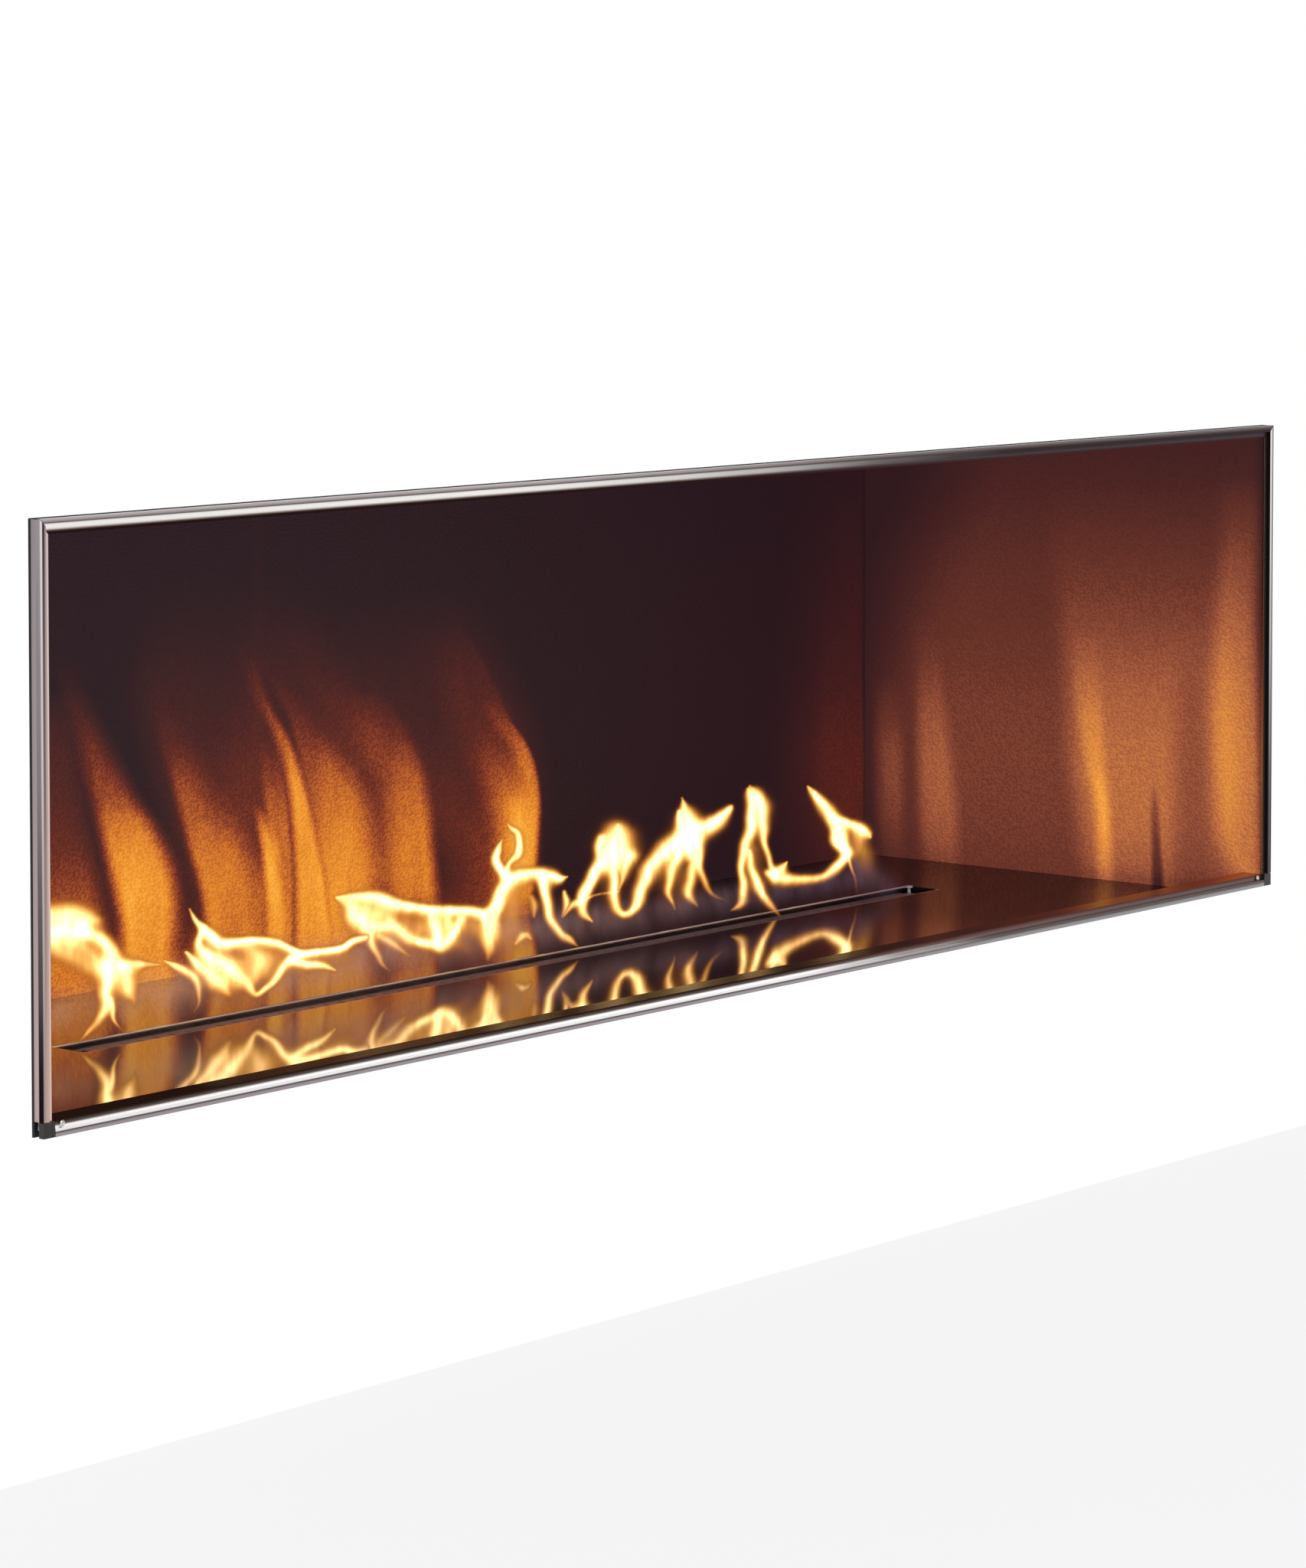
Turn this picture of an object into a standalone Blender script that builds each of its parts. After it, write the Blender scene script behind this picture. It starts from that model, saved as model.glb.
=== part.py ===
"""Outdoor linear gas fireplace for building into a wall.

The wall's finished face is the plane y = 0, the room side is -Y, and z = 0 is the underside
of the runners. All sizes are in metres. A root empty carries every piece and puts the
middle of the footprint on the world's origin.
"""
import math

import bmesh
import bpy
from mathutils import Matrix, Vector

# Fits, cuts and facets
SEAT_GAP = 0.0003
CUT_OVERRUN = 0.003
WELD_DISTANCE = 0.00002
ROUND_STEPS = 28
SMALL_ROUND_STEPS = 18
SLOT_END_STEPS = 3
SMOOTH_ANGLE = math.radians(35)

# Firebox: clear width between the liner's faces, clear height of the trim, depth behind the wall's face
FIREBOX_WIDTH = 1.219
OPENING_HEIGHT = 0.319
FIREBOX_DEPTH = 0.3545

# Trim: a folded strip with an inner bead set back from an outer flange
TRIM_BEAD = 0.004
TRIM_FLANGE = 0.0045
TRIM_STEP = 0.0025
TRIM_STAND = 0.009
TRIM_SHEET = 0.0012
SILL_LEDGE = 0.016
TRIM_RISE = 0.008
GASKET_THICKNESS = 0.0015
GASKET_WIDTH = 0.003
SCREW_HEAD_RADIUS = 0.0018
SCREW_HEAD_HEIGHT = 0.0012
SCREW_SHANK_RADIUS = 0.0009
SCREW_FROM_CORNER = 0.007

# Front frame, its collar and the nailing flanges
FRAME_SHEET = 0.0015
FRAME_SETBACK = 0.013
COLLAR_OFFSET = 0.0018
NAIL_FLANGE_WIDTH = 0.0347
NAIL_LEG_DEPTH = 0.025
NAIL_FLANGE_LENGTH = 0.5
NAIL_FLANGE_RISE = 0.04
NAIL_SLOT_COUNT = 5
NAIL_SLOT_LENGTH = 0.02
NAIL_SLOT_WIDTH = 0.006
NAIL_SLOT_END = 0.05

# Outer casing: air spaces round the liner and its sheet
CASING_SHEET = 0.0015
SIDE_CAVITY = 0.0425
TOP_CAVITY = 0.083
REAR_CAVITY = 0.039
CASING_FLANGE = 0.015
LID_FLANGE = 0.015
PAN_FLANGE = 0.02
VENT_WIDTH = 0.006
VENT_PITCH = 0.011
VENT_COUNT = 5
SIDE_VENT_LENGTH = 0.12
BACK_VENT_LENGTH = 0.16
SIDE_VENT_FROM_WALL = 0.25
BACK_VENT_FROM_MIDDLE = 0.3
VENT_RISE = 0.028

# Runners, standoffs, heat shield, rear spacers and drain
RUNNER_HEIGHT = 0.02
RUNNER_WIDTH = 0.04
RUNNER_SHEET = 0.002
RUNNER_FROM_MIDDLE = 0.5
RUNNER_INSET = 0.02
STANDOFF_HEIGHT = 0.0379
STANDOFF_HALF_TOP = 0.022
STANDOFF_FOOT = 0.016
STANDOFF_LENGTH = 0.06
STANDOFF_FROM_FACE = 0.08
STANDOFF_SPREAD = 0.25
BRACKET_SHEET = 0.0015
SHIELD_SHEET = 0.0012
SHIELD_HEIGHT = 0.0239
SHIELD_SIDE_INSET = 0.0495
SHIELD_FRONT = 0.03
SHIELD_REAR_INSET = 0.0145
SPACER_PAST_LINER = 0.0005
SPACER_HALF_CROWN = 0.01
SPACER_FOOT = 0.01
SPACER_LENGTH = 0.44
SPACER_RISE = 0.04
DRAIN_RADIUS = 0.008
DRAIN_BORE = 0.006
DRAIN_FLANGE = 0.012
DRAIN_DROP = 0.015
DRAIN_FROM_WALL = 0.06

# Liner: hammered sheets with lips that carry the deck
LINER_SHEET = 0.0015
LINER_LIP = 0.012
LINER_REAR_FLANGE = 0.014
LINER_UPTURN = 0.013

# Deck and its slot; the slot sits right of the middle, above the gas train's end
DECK_HEIGHT = 0.18
DECK_THICKNESS = 0.0025
DECK_CHAMFER = 0.0006
SLOT_LENGTH = 0.8741
SLOT_SHIFT = 0.05255
SLOT_WIDTH = 0.0288
SLOT_FROM_WALL = 0.2126

# Trough under the slot, its legs and the burner's saddles
TROUGH_SHEET = 0.0012
TROUGH_DEPTH = 0.0685
TROUGH_END_MARGIN = 0.0155
TROUGH_SIDE_MARGIN = 0.0216
TROUGH_RIM = 0.01
LEG_WIDTH = 0.065
LEG_FOOT = 0.02
LEG_INSET = 0.05
SADDLE_HEIGHT = 0.0192
SADDLE_HALF_TOP = 0.0166
SADDLE_FOOT = 0.011
SADDLE_LENGTH = 0.02
SADDLE_INSET = 0.12

# Burner: folded channel, end caps and a perforated cover with a raised rib
BURNER_SHEET = 0.0012
BURNER_WIDTH = 0.022
BURNER_RECESS = 0.004
BURNER_COVER_SKIRT = 0.0108
BURNER_LEFT_MARGIN = 0.0165
BURNER_RIGHT_MARGIN = 0.0116
RIB_HALF_WIDTH = 0.004
RIB_SLOPE = 0.0015
RIB_RISE = 0.001
PORT_PITCH = 0.014
PORT_LENGTH = 0.0065
PORT_WIDTH = 0.0016
PORT_END_MARGIN = 0.012

# Mixer: venturi, air shutter and jet on one axis below the slot's centre line
MIXER_DROP = 0.04
VENTURI_RADIUS = 0.009
VENTURI_WALL = 0.0012
VENTURI_ENTRY = 0.008
VENTURI_TUBE = 0.062
VENTURI_CONE = 0.01
BELL_RADIUS = 0.014
BELL_LENGTH = 0.03
AIR_WINDOW_LENGTH = 0.014
AIR_WINDOW_WIDTH = 0.012
SHUTTER_WALL = 0.0015
SHUTTER_LENGTH = 0.024
SHUTTER_TAB = 0.006
JET_HEX_RADIUS = 0.008
JET_HEX_LENGTH = 0.0137
JET_NOZZLE_RADIUS = 0.003
JET_NOZZLE_LENGTH = 0.012
JET_ORIFICE_RADIUS = 0.0008
JET_GAP_TO_BELL = 0.0077

# Gas valve, its bracket, the knob and the igniter
VALVE_LENGTH = 0.065
VALVE_WIDTH = 0.066
VALVE_HEIGHT = 0.047
VALVE_ROUNDING = 0.004
VALVE_BOSS_RADIUS = 0.009
VALVE_BOSS_LENGTH = 0.018
VALVE_STEM_RADIUS = 0.004
VALVE_INLET_RADIUS = 0.0105
VALVE_INLET_INSET = 0.018
VALVE_INLET_RISE = 0.015
VALVE_INLET_LENGTH = 0.008
BRACKET_TOP_DROP = 0.0212
BRACKET_FRONT_OVERHANG = 0.055
BRACKET_END_GAP = 0.0205
BRACKET_FOOT = 0.027
BRACKET_OVERHANG = 0.02
KNOB_RADIUS = 0.018
KNOB_HEIGHT = 0.015
KNOB_ROOF = 0.003
KNOB_GROOVES = 12
KNOB_GROOVE_RADIUS = 0.0022
KNOB_POINTER_WIDTH = 0.0025
KNOB_POINTER_HEIGHT = 0.001
IGNITER_RADIUS = 0.008
IGNITER_NECK_RADIUS = 0.007
IGNITER_COLLAR_RADIUS = 0.01
IGNITER_COLLAR_HEIGHT = 0.004
IGNITER_HEIGHT = 0.04
IGNITER_FROM_VALVE = 0.029
IGNITER_RIGHT_INSET = 0.001
BUTTON_RADIUS = 0.005
BUTTON_HEIGHT = 0.01
BUTTON_PROUD = 0.0065
BUTTON_TRAVEL = 0.005
BUTTON_ROUNDING = 0.001

# Pilot group at the slot's right end
PILOT_SHEET = 0.0012
PILOT_FROM_SLOT_END = 0.0056
PILOT_BEHIND_CENTRE = 0.0074
PILOT_ARM_DROP = 0.03
PILOT_LEG = 0.016
PILOT_HALF_WIDTH = 0.022
PILOT_BODY_RADIUS = 0.0038
PILOT_BODY_HEIGHT = 0.012
PILOT_NECK_RADIUS = 0.0024
PILOT_STEM_RADIUS = 0.0012
PILOT_STEM_HEIGHT = 0.006
PILOT_CAP_RADIUS = 0.0028
PILOT_CAP_THICKNESS = 0.0012
ELECTRODE_RADIUS = 0.003
ELECTRODE_TIP_RADIUS = 0.0009
ELECTRODE_HEIGHT = 0.012
ELECTRODE_TIP_HEIGHT = 0.008
THERMOCOUPLE_RADIUS = 0.002
THERMOCOUPLE_HEIGHT = 0.018
PROBE_SHOULDER = 0.0015
PROBE_SHANK = 0.004
PROBE_SPREAD = 0.014
PROBE_BEHIND_PILOT = 0.008

# Small tubes and leads in the trough
PILOT_TUBE_RADIUS = 0.0025
PILOT_TUBE_OFFSET = 0.0224
LEAD_RADIUS = 0.002
LEAD_OFFSET = 0.0226
CAPILLARY_RADIUS = 0.00125
CAPILLARY_OFFSET = 0.0305
TUBE_BEND_RADIUS = 0.008
TUBE_BEND_STEPS = 4

# Gas inlet on the left: pipe, grommet, shut-off valve and connector
INLET_FROM_WALL = 0.09
INLET_HEIGHT = 0.07
PIPE_RADIUS = 0.01065
PIPE_BORE = 0.008
PIPE_OUTSIDE = 0.033
PIPE_INSIDE = 0.0132
GROMMET_WALL = 0.0012
GROMMET_FLANGE = 0.005
GROMMET_FLANGE_THICKNESS = 0.002
SHUTOFF_LENGTH = 0.05
SHUTOFF_END_RADIUS = 0.0135
SHUTOFF_END_LENGTH = 0.012
SHUTOFF_WAIST_RADIUS = 0.0115
SHUTOFF_STEM_RADIUS = 0.005
SHUTOFF_STEM_HEIGHT = 0.0257
HANDLE_PIN_RADIUS = 0.0025
HANDLE_HUB_RADIUS = 0.008
HANDLE_LENGTH = 0.055
HANDLE_WIDTH = 0.012
HANDLE_THICKNESS = 0.003
CONNECTOR_RADIUS = 0.008
CONNECTOR_RIB = 0.0012
CONNECTOR_BORE = 0.0055
CONNECTOR_RIB_PITCH = 0.0048
CONNECTOR_PULL = 0.045
CONNECTOR_BORE_STEPS = 14
PATH_SAMPLES = 40

# Places that follow from the sizes above
HALF_WIDTH = FIREBOX_WIDTH / 2
TRIM_WIDTH = TRIM_BEAD + TRIM_FLANGE
FLANGE_FRONT = -TRIM_STAND
BEAD_FRONT = FLANGE_FRONT + TRIM_STEP
BEAD_BACK = BEAD_FRONT + TRIM_SHEET
FLANGE_END = -GASKET_THICKNESS - SEAT_GAP
LINER_FRONT = BEAD_BACK + SEAT_GAP
OPENING_LOW = DECK_HEIGHT + TRIM_RISE + TRIM_WIDTH
OPENING_TOP = OPENING_LOW + OPENING_HEIGHT
LEDGE_BACK = BEAD_FRONT + SILL_LEDGE
FRAME_BACK = FRAME_SETBACK + FRAME_SHEET
CASING_FRONT = FRAME_BACK + SEAT_GAP
CASING_INNER = HALF_WIDTH + LINER_SHEET + SIDE_CAVITY
CASING_OUTER = CASING_INNER + CASING_SHEET
CASING_LOW = RUNNER_HEIGHT + SEAT_GAP
CASING_TOP = OPENING_TOP + LINER_SHEET + TOP_CAVITY
LINER_BACK_FACE = FIREBOX_DEPTH + LINER_SHEET
CASING_REAR = LINER_BACK_FACE + REAR_CAVITY
BACK_FRONT = CASING_REAR + SEAT_GAP
BACK_REAR = BACK_FRONT + CASING_SHEET
LID_REAR = BACK_REAR + SEAT_GAP + CASING_SHEET
LID_HALF = CASING_OUTER + SEAT_GAP + CASING_SHEET
LID_LOW = CASING_TOP + SEAT_GAP
LID_TOP = LID_LOW + CASING_SHEET
DECK_UNDER = DECK_HEIGHT - DECK_THICKNESS
LIP_TOP = DECK_UNDER - SEAT_GAP
PAN_TOP = CASING_LOW + CASING_SHEET
SLOT_LEFT = SLOT_SHIFT - SLOT_LENGTH / 2
SLOT_RIGHT = SLOT_SHIFT + SLOT_LENGTH / 2
TROUGH_LEFT = SLOT_LEFT - TROUGH_END_MARGIN
TROUGH_RIGHT = SLOT_RIGHT + TROUGH_END_MARGIN
TROUGH_HALF = SLOT_WIDTH / 2 + TROUGH_SIDE_MARGIN
TROUGH_LOW = LIP_TOP - TROUGH_DEPTH - TROUGH_SHEET
TROUGH_FLOOR = TROUGH_LOW + TROUGH_SHEET
BURNER_LEFT = SLOT_LEFT + BURNER_LEFT_MARGIN
BURNER_RIGHT = SLOT_RIGHT - BURNER_RIGHT_MARGIN
BODY_LEFT = BURNER_LEFT + BURNER_SHEET + SEAT_GAP
BODY_RIGHT = BURNER_RIGHT - BURNER_SHEET - SEAT_GAP
COVER_TOP = DECK_HEIGHT - BURNER_RECESS
BODY_TOP = COVER_TOP - BURNER_SHEET - SEAT_GAP
SADDLE_TOP = TROUGH_FLOOR + SEAT_GAP + SADDLE_HEIGHT
FOOT_TOP = TROUGH_FLOOR + SEAT_GAP + BRACKET_SHEET
BODY_LOW = SADDLE_TOP + SEAT_GAP
MIXER_HEIGHT = DECK_HEIGHT - MIXER_DROP
VENTURI_LEFT = BODY_LEFT - VENTURI_TUBE
BELL_RIGHT = VENTURI_LEFT - VENTURI_CONE
BELL_LEFT = BELL_RIGHT - BELL_LENGTH
JET_RIGHT = BELL_LEFT - JET_GAP_TO_BELL
JET_LEFT = JET_RIGHT - JET_HEX_LENGTH
VALVE_RIGHT = JET_LEFT - SEAT_GAP - VALVE_BOSS_LENGTH
VALVE_LEFT = VALVE_RIGHT - VALVE_LENGTH
VALVE_FRONT = SLOT_FROM_WALL - VALVE_WIDTH / 2
BRACKET_TOP = DECK_HEIGHT - BRACKET_TOP_DROP - DECK_THICKNESS
VALVE_TOP = BRACKET_TOP - BRACKET_SHEET - SEAT_GAP
VALVE_LOW = VALVE_TOP - VALVE_HEIGHT
STEM_X = (VALVE_LEFT + VALVE_RIGHT) / 2
KNOB_LOW = BRACKET_TOP + SEAT_GAP + SHUTTER_WALL
STEM_TOP = KNOB_LOW + KNOB_HEIGHT - KNOB_ROOF - SEAT_GAP
IGNITER_X = VALVE_RIGHT + IGNITER_RIGHT_INSET
IGNITER_Y = VALVE_FRONT - IGNITER_FROM_VALVE
IGNITER_TOP = BRACKET_TOP + SEAT_GAP + IGNITER_COLLAR_HEIGHT
BUTTON_LOW = IGNITER_TOP + BUTTON_PROUD - BUTTON_HEIGHT
PILOT_X = SLOT_RIGHT - PILOT_FROM_SLOT_END
PILOT_Y = SLOT_FROM_WALL + PILOT_BEHIND_CENTRE
PILOT_ARM_TOP = DECK_UNDER - PILOT_ARM_DROP
PROBE_X = PILOT_X + PROBE_BEHIND_PILOT
INLET_VALVE_LEFT = -CASING_OUTER + PIPE_INSIDE + CASING_SHEET + SEAT_GAP
INLET_VALVE_RIGHT = INLET_VALVE_LEFT + SHUTOFF_LENGTH
HANDLE_X = INLET_VALVE_LEFT + SHUTOFF_LENGTH / 2
HANDLE_LOW = INLET_HEIGHT + SHUTOFF_STEM_HEIGHT + SEAT_GAP
INLET_PORT_X = VALVE_LEFT + VALVE_INLET_INSET
INLET_PORT_Z = VALVE_LOW + VALVE_INLET_RISE
FOOTPRINT_MIDDLE = (FLANGE_FRONT + LID_REAR) / 2

# Colours (linear), roughness and metallic value of each material
MATERIALS = {
    "trim_stainless": ((0.62, 0.61, 0.59), 0.28, 1.0),
    "corner_black": ((0.02, 0.02, 0.022), 0.5, 0.0),
    "gasket_black": ((0.01, 0.01, 0.01), 0.8, 0.0),
    "hammered_stainless": ((0.42, 0.35, 0.31), 0.32, 1.0),
    "deck_black": ((0.012, 0.009, 0.009), 0.06, 0.0),
    "burner_steel": ((0.16, 0.155, 0.15), 0.45, 1.0),
    "galvanised": ((0.55, 0.56, 0.57), 0.42, 1.0),
    "casing_black": ((0.03, 0.03, 0.032), 0.55, 0.0),
    "brass": ((0.62, 0.45, 0.18), 0.3, 1.0),
    "cast_aluminium": ((0.5, 0.5, 0.5), 0.5, 1.0),
    "control_black": ((0.015, 0.015, 0.016), 0.4, 0.0),
    "ceramic_white": ((0.8, 0.78, 0.74), 0.4, 0.0),
    "lead_red": ((0.35, 0.02, 0.015), 0.55, 0.0),
    "handle_yellow": ((0.75, 0.5, 0.03), 0.45, 0.0),
    "rubber_black": ((0.02, 0.02, 0.02), 0.85, 0.0),
}

# How the flat outline of an extrusion lies on the world's axes
OUTLINE_TURN = {
    "X": Matrix(((0, 0, 1, 0), (1, 0, 0, 0), (0, 1, 0, 0), (0, 0, 0, 1))),
    "Y": Matrix(((0, 1, 0, 0), (0, 0, 1, 0), (1, 0, 0, 0), (0, 0, 0, 1))),
    "Z": Matrix.Identity(4),
}
AXIS_VECTOR = {"X": Vector((1, 0, 0)), "Y": Vector((0, 1, 0)), "Z": Vector((0, 0, 1))}


class Builder:
    """Holds the collections, the materials and the root empty."""

    def __init__(self):
        for ob in list(bpy.data.objects):
            bpy.data.objects.remove(ob, do_unlink=True)
        self.parts = self.collection("outdoor_linear_fireplace")
        self.cutters = self.collection("cutters")
        self.materials = {name: self.material(name, *look) for name, look in MATERIALS.items()}
        self.root = bpy.data.objects.new("fireplace_root", None)
        self.root.location = (0, -FOOTPRINT_MIDDLE, 0)
        self.parts.objects.link(self.root)

    def collection(self, name):
        group = bpy.data.collections.new(name)
        bpy.context.scene.collection.children.link(group)
        return group

    def material(self, name, colour, roughness, metallic):
        look = bpy.data.materials.new(name)
        look.use_nodes = True
        shader = look.node_tree.nodes["Principled BSDF"]
        shader.inputs["Base Color"].default_value = (*colour, 1)
        shader.inputs["Roughness"].default_value = roughness
        shader.inputs["Metallic"].default_value = metallic
        look.diffuse_color = (*colour, 1)
        return look

    def place(self, name, mesh, look, origin=None):
        """Link a finished piece; a moving piece gets its origin on its joint's axis."""
        mesh.materials.clear()
        mesh.materials.append(self.materials[look])
        ob = bpy.data.objects.new(name, mesh)
        if origin is not None:
            mesh.transform(Matrix.Translation(-Vector(origin)))
            ob.location = origin
        self.parts.objects.link(ob)
        ob.parent = self.root
        return ob

    def cutter(self, name, mesh):
        ob = bpy.data.objects.new(name, mesh)
        ob.hide_render = True
        ob.display_type = "WIRE"
        self.cutters.objects.link(ob)
        ob.parent = self.root
        return ob

    def combine(self, ob, mesh, operation):
        """Cut a mesh out of a piece, or join it on, with an exact Boolean."""
        tool = self.cutter(ob.name + "_" + operation.lower(), mesh)
        modifier = ob.modifiers.new(operation.title(), "BOOLEAN")
        modifier.operation = operation
        modifier.solver = "EXACT"
        modifier.object = tool
        return ob

    def cut(self, ob, mesh):
        return self.combine(ob, mesh, "DIFFERENCE")

    def join(self, ob, mesh):
        return self.combine(ob, mesh, "UNION")


def finish_mesh(bm, name, smooth=False):
    """Write a bmesh out as a mesh with its faces pointing out."""
    bmesh.ops.remove_doubles(bm, verts=bm.verts, dist=WELD_DISTANCE)
    bmesh.ops.recalc_face_normals(bm, faces=bm.faces)
    mesh = bpy.data.meshes.new(name)
    bm.to_mesh(mesh)
    bm.free()
    if smooth:
        mesh.shade_smooth()
        mesh.set_sharp_from_angle(angle=SMOOTH_ANGLE)
    return mesh


def boxes(name, spans):
    """One mesh with a box for each ((x0, x1), (y0, y1), (z0, z1))."""
    bm = bmesh.new()
    for span in spans:
        size = [high - low for low, high in span]
        middle = [(high + low) / 2 for low, high in span]
        matrix = Matrix.Translation(middle) @ Matrix.Diagonal((*size, 1))
        bmesh.ops.create_cube(bm, size=1, matrix=matrix)
    return finish_mesh(bm, name)


def evaluated_mesh(ob):
    """The mesh of a curve or of a piece with modifiers, as the viewport shows it."""
    bpy.context.scene.collection.objects.link(ob)
    depsgraph = bpy.context.evaluated_depsgraph_get()
    mesh = bpy.data.meshes.new_from_object(ob.evaluated_get(depsgraph))
    mesh.transform(ob.matrix_world)
    bpy.data.objects.remove(ob, do_unlink=True)
    return mesh


def extrusion(name, outlines, axis, start, end):
    """A flat outline, or several, drawn out along an axis.

    Points are (y, z) along X, (x, z) along Y and (x, y) along Z. An outline inside
    another one is a hole.
    """
    curve = bpy.data.curves.new(name, "CURVE")
    curve.dimensions = "2D"
    curve.fill_mode = "BOTH"
    curve.extrude = abs(end - start) / 2
    for outline in outlines:
        spline = curve.splines.new("POLY")
        spline.points.add(len(outline) - 1)
        for point, (first, second) in zip(spline.points, outline):
            pair = (second, first) if axis == "Y" else (first, second)
            point.co = (*pair, 0, 1)
        spline.use_cyclic_u = True
    ob = bpy.data.objects.new(name, curve)
    ob.matrix_world = Matrix.Translation(AXIS_VECTOR[axis] * (start + end) / 2) @ OUTLINE_TURN[axis]
    bm = bmesh.new()
    bm.from_mesh(evaluated_mesh(ob))
    return finish_mesh(bm, name)


def turned(name, profile, axis, centre, steps=ROUND_STEPS):
    """A profile of (radius, height) points, run down its outer side, turned about an axis."""
    bm = bmesh.new()
    points = [bm.verts.new((radius, 0, height)) for radius, height in profile]
    for first, second in zip(points, points[1:]):
        bm.edges.new((first, second))
    if profile[0][0] > 0:
        bm.edges.new((points[-1], points[0]))
    mesh = bpy.data.meshes.new(name)
    bm.to_mesh(mesh)
    bm.free()
    ob = bpy.data.objects.new(name, mesh)
    screw = ob.modifiers.new("Turn", "SCREW")
    screw.steps = steps
    screw.render_steps = steps
    screw.use_merge_vertices = True
    screw.merge_threshold = WELD_DISTANCE
    ob.matrix_world = Matrix.Translation(centre) @ OUTLINE_TURN[axis]
    bm = bmesh.new()
    bm.from_mesh(evaluated_mesh(ob))
    return finish_mesh(bm, name, smooth=True)


def rod(name, radius, axis, centre, start, end, sides=SMALL_ROUND_STEPS):
    """A plain cylinder between two places on an axis through a centre point."""
    bm = bmesh.new()
    middle = Vector(centre) + AXIS_VECTOR[axis] * ((start + end) / 2)
    turn = Matrix.Translation(middle) @ OUTLINE_TURN[axis]
    bmesh.ops.create_cone(
        bm, cap_ends=True, segments=sides, radius1=radius, radius2=radius, depth=end - start, matrix=turn
    )
    return finish_mesh(bm, name, smooth=True)


def tube(name, route, radius, radii=None):
    """A round tube along a list of points; radii gives a share of the radius at each point."""
    curve = bpy.data.curves.new(name, "CURVE")
    curve.dimensions = "3D"
    curve.bevel_depth = radius
    curve.bevel_resolution = 2
    curve.use_fill_caps = True
    spline = curve.splines.new("POLY")
    spline.points.add(len(route) - 1)
    for number, (point, place) in enumerate(zip(spline.points, route)):
        point.co = (*place, 1)
        point.radius = radii[number] if radii else 1
    ob = bpy.data.objects.new(name, curve)
    bm = bmesh.new()
    bm.from_mesh(evaluated_mesh(ob))
    return finish_mesh(bm, name, smooth=True)


def rounded_route(corners, radius):
    """The corners of a route with each inner corner turned into an arc."""
    route = [Vector(corners[0])]
    for before, corner, after in zip(corners, corners[1:], corners[2:]):
        corner = Vector(corner)
        back = (Vector(before) - corner).normalized()
        ahead = (Vector(after) - corner).normalized()
        start = corner + back * radius
        end = corner + ahead * radius
        for step in range(TUBE_BEND_STEPS + 1):
            share = step / TUBE_BEND_STEPS
            route.append(start.lerp(corner, share).lerp(corner.lerp(end, share), share))
    route.append(Vector(corners[-1]))
    return route


def mitre(first, second):
    stretch = 1 + first[0] * second[0] + first[1] * second[1]
    return ((first[0] + second[0]) / stretch, (first[1] + second[1]) / stretch)


def bent_sheet(path, thickness):
    """Outline of a folded sheet: the path is one face and the other face lies to its left."""
    normals = []
    for (a0, b0), (a1, b1) in zip(path, path[1:]):
        length = math.hypot(a1 - a0, b1 - b0)
        normals.append(((b0 - b1) / length, (a1 - a0) / length))
    corners = [normals[0]]
    corners += [mitre(first, second) for first, second in zip(normals, normals[1:])]
    corners.append(normals[-1])
    other = [(a + thickness * na, b + thickness * nb) for (a, b), (na, nb) in zip(path, corners)]
    return list(path) + other[::-1]


def hat_path(middle, half_top, foot, low, height):
    """Underside of a hat section, from foot to foot."""
    inner = half_top - BRACKET_SHEET
    crown = low + height - BRACKET_SHEET
    return [
        (middle - half_top - foot, low),
        (middle - inner, low),
        (middle - inner, crown),
        (middle + inner, crown),
        (middle + inner, low),
        (middle + half_top + foot, low),
    ]


def rectangle(left, right, low, high):
    return [(left, low), (right, low), (right, high), (left, high)]


def long_slot(middle, length, width, along_first=True):
    """Outline of a slot with round ends."""
    reach = (length - width) / 2
    points = []
    for side, start in ((1, -math.pi / 2), (-1, math.pi / 2)):
        for step in range(SLOT_END_STEPS + 1):
            angle = start + math.pi * step / SLOT_END_STEPS
            along = side * reach + width / 2 * math.cos(angle)
            across = width / 2 * math.sin(angle)
            pair = (along, across) if along_first else (across, along)
            points.append((middle[0] + pair[0], middle[1] + pair[1]))
    return points


def mirrored(outline, side):
    """An outline whose first coordinate is x, drawn for the left or the right side."""
    return [(first * side, second) for first, second in outline]


def sorted_span(side, start, end):
    """A span of x on the left or the right side, low end first."""
    return (min(side * start, side * end), max(side * start, side * end))


def sliced(mesh, point, normal):
    """Cut a mesh square through with a plane, keep the side behind it and close the cut."""
    bm = bmesh.new()
    bm.from_mesh(mesh)
    everything = bm.verts[:] + bm.edges[:] + bm.faces[:]
    result = bmesh.ops.bisect_plane(bm, geom=everything, plane_co=point, plane_no=normal, clear_outer=True)
    edges = [item for item in result["geom_cut"] if isinstance(item, bmesh.types.BMEdge)]
    bmesh.ops.edgeloop_fill(bm, edges=edges)
    return finish_mesh(bm, mesh.name)


# Trim


def trim_path():
    """The trim's visible face, as distance out from the opening's edge and depth."""
    return [
        (0, BEAD_FRONT),
        (TRIM_BEAD, BEAD_FRONT),
        (TRIM_BEAD, FLANGE_FRONT),
        (TRIM_WIDTH, FLANGE_FRONT),
        (TRIM_WIDTH, FLANGE_END),
    ]


def mitre_planes(side):
    """Point and normal of the cut at a top corner, pointing out of the top member."""
    corner = Vector((side * HALF_WIDTH, 0, OPENING_TOP))
    normal = Vector((side, 0, -1)).normalized()
    return corner, normal


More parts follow.
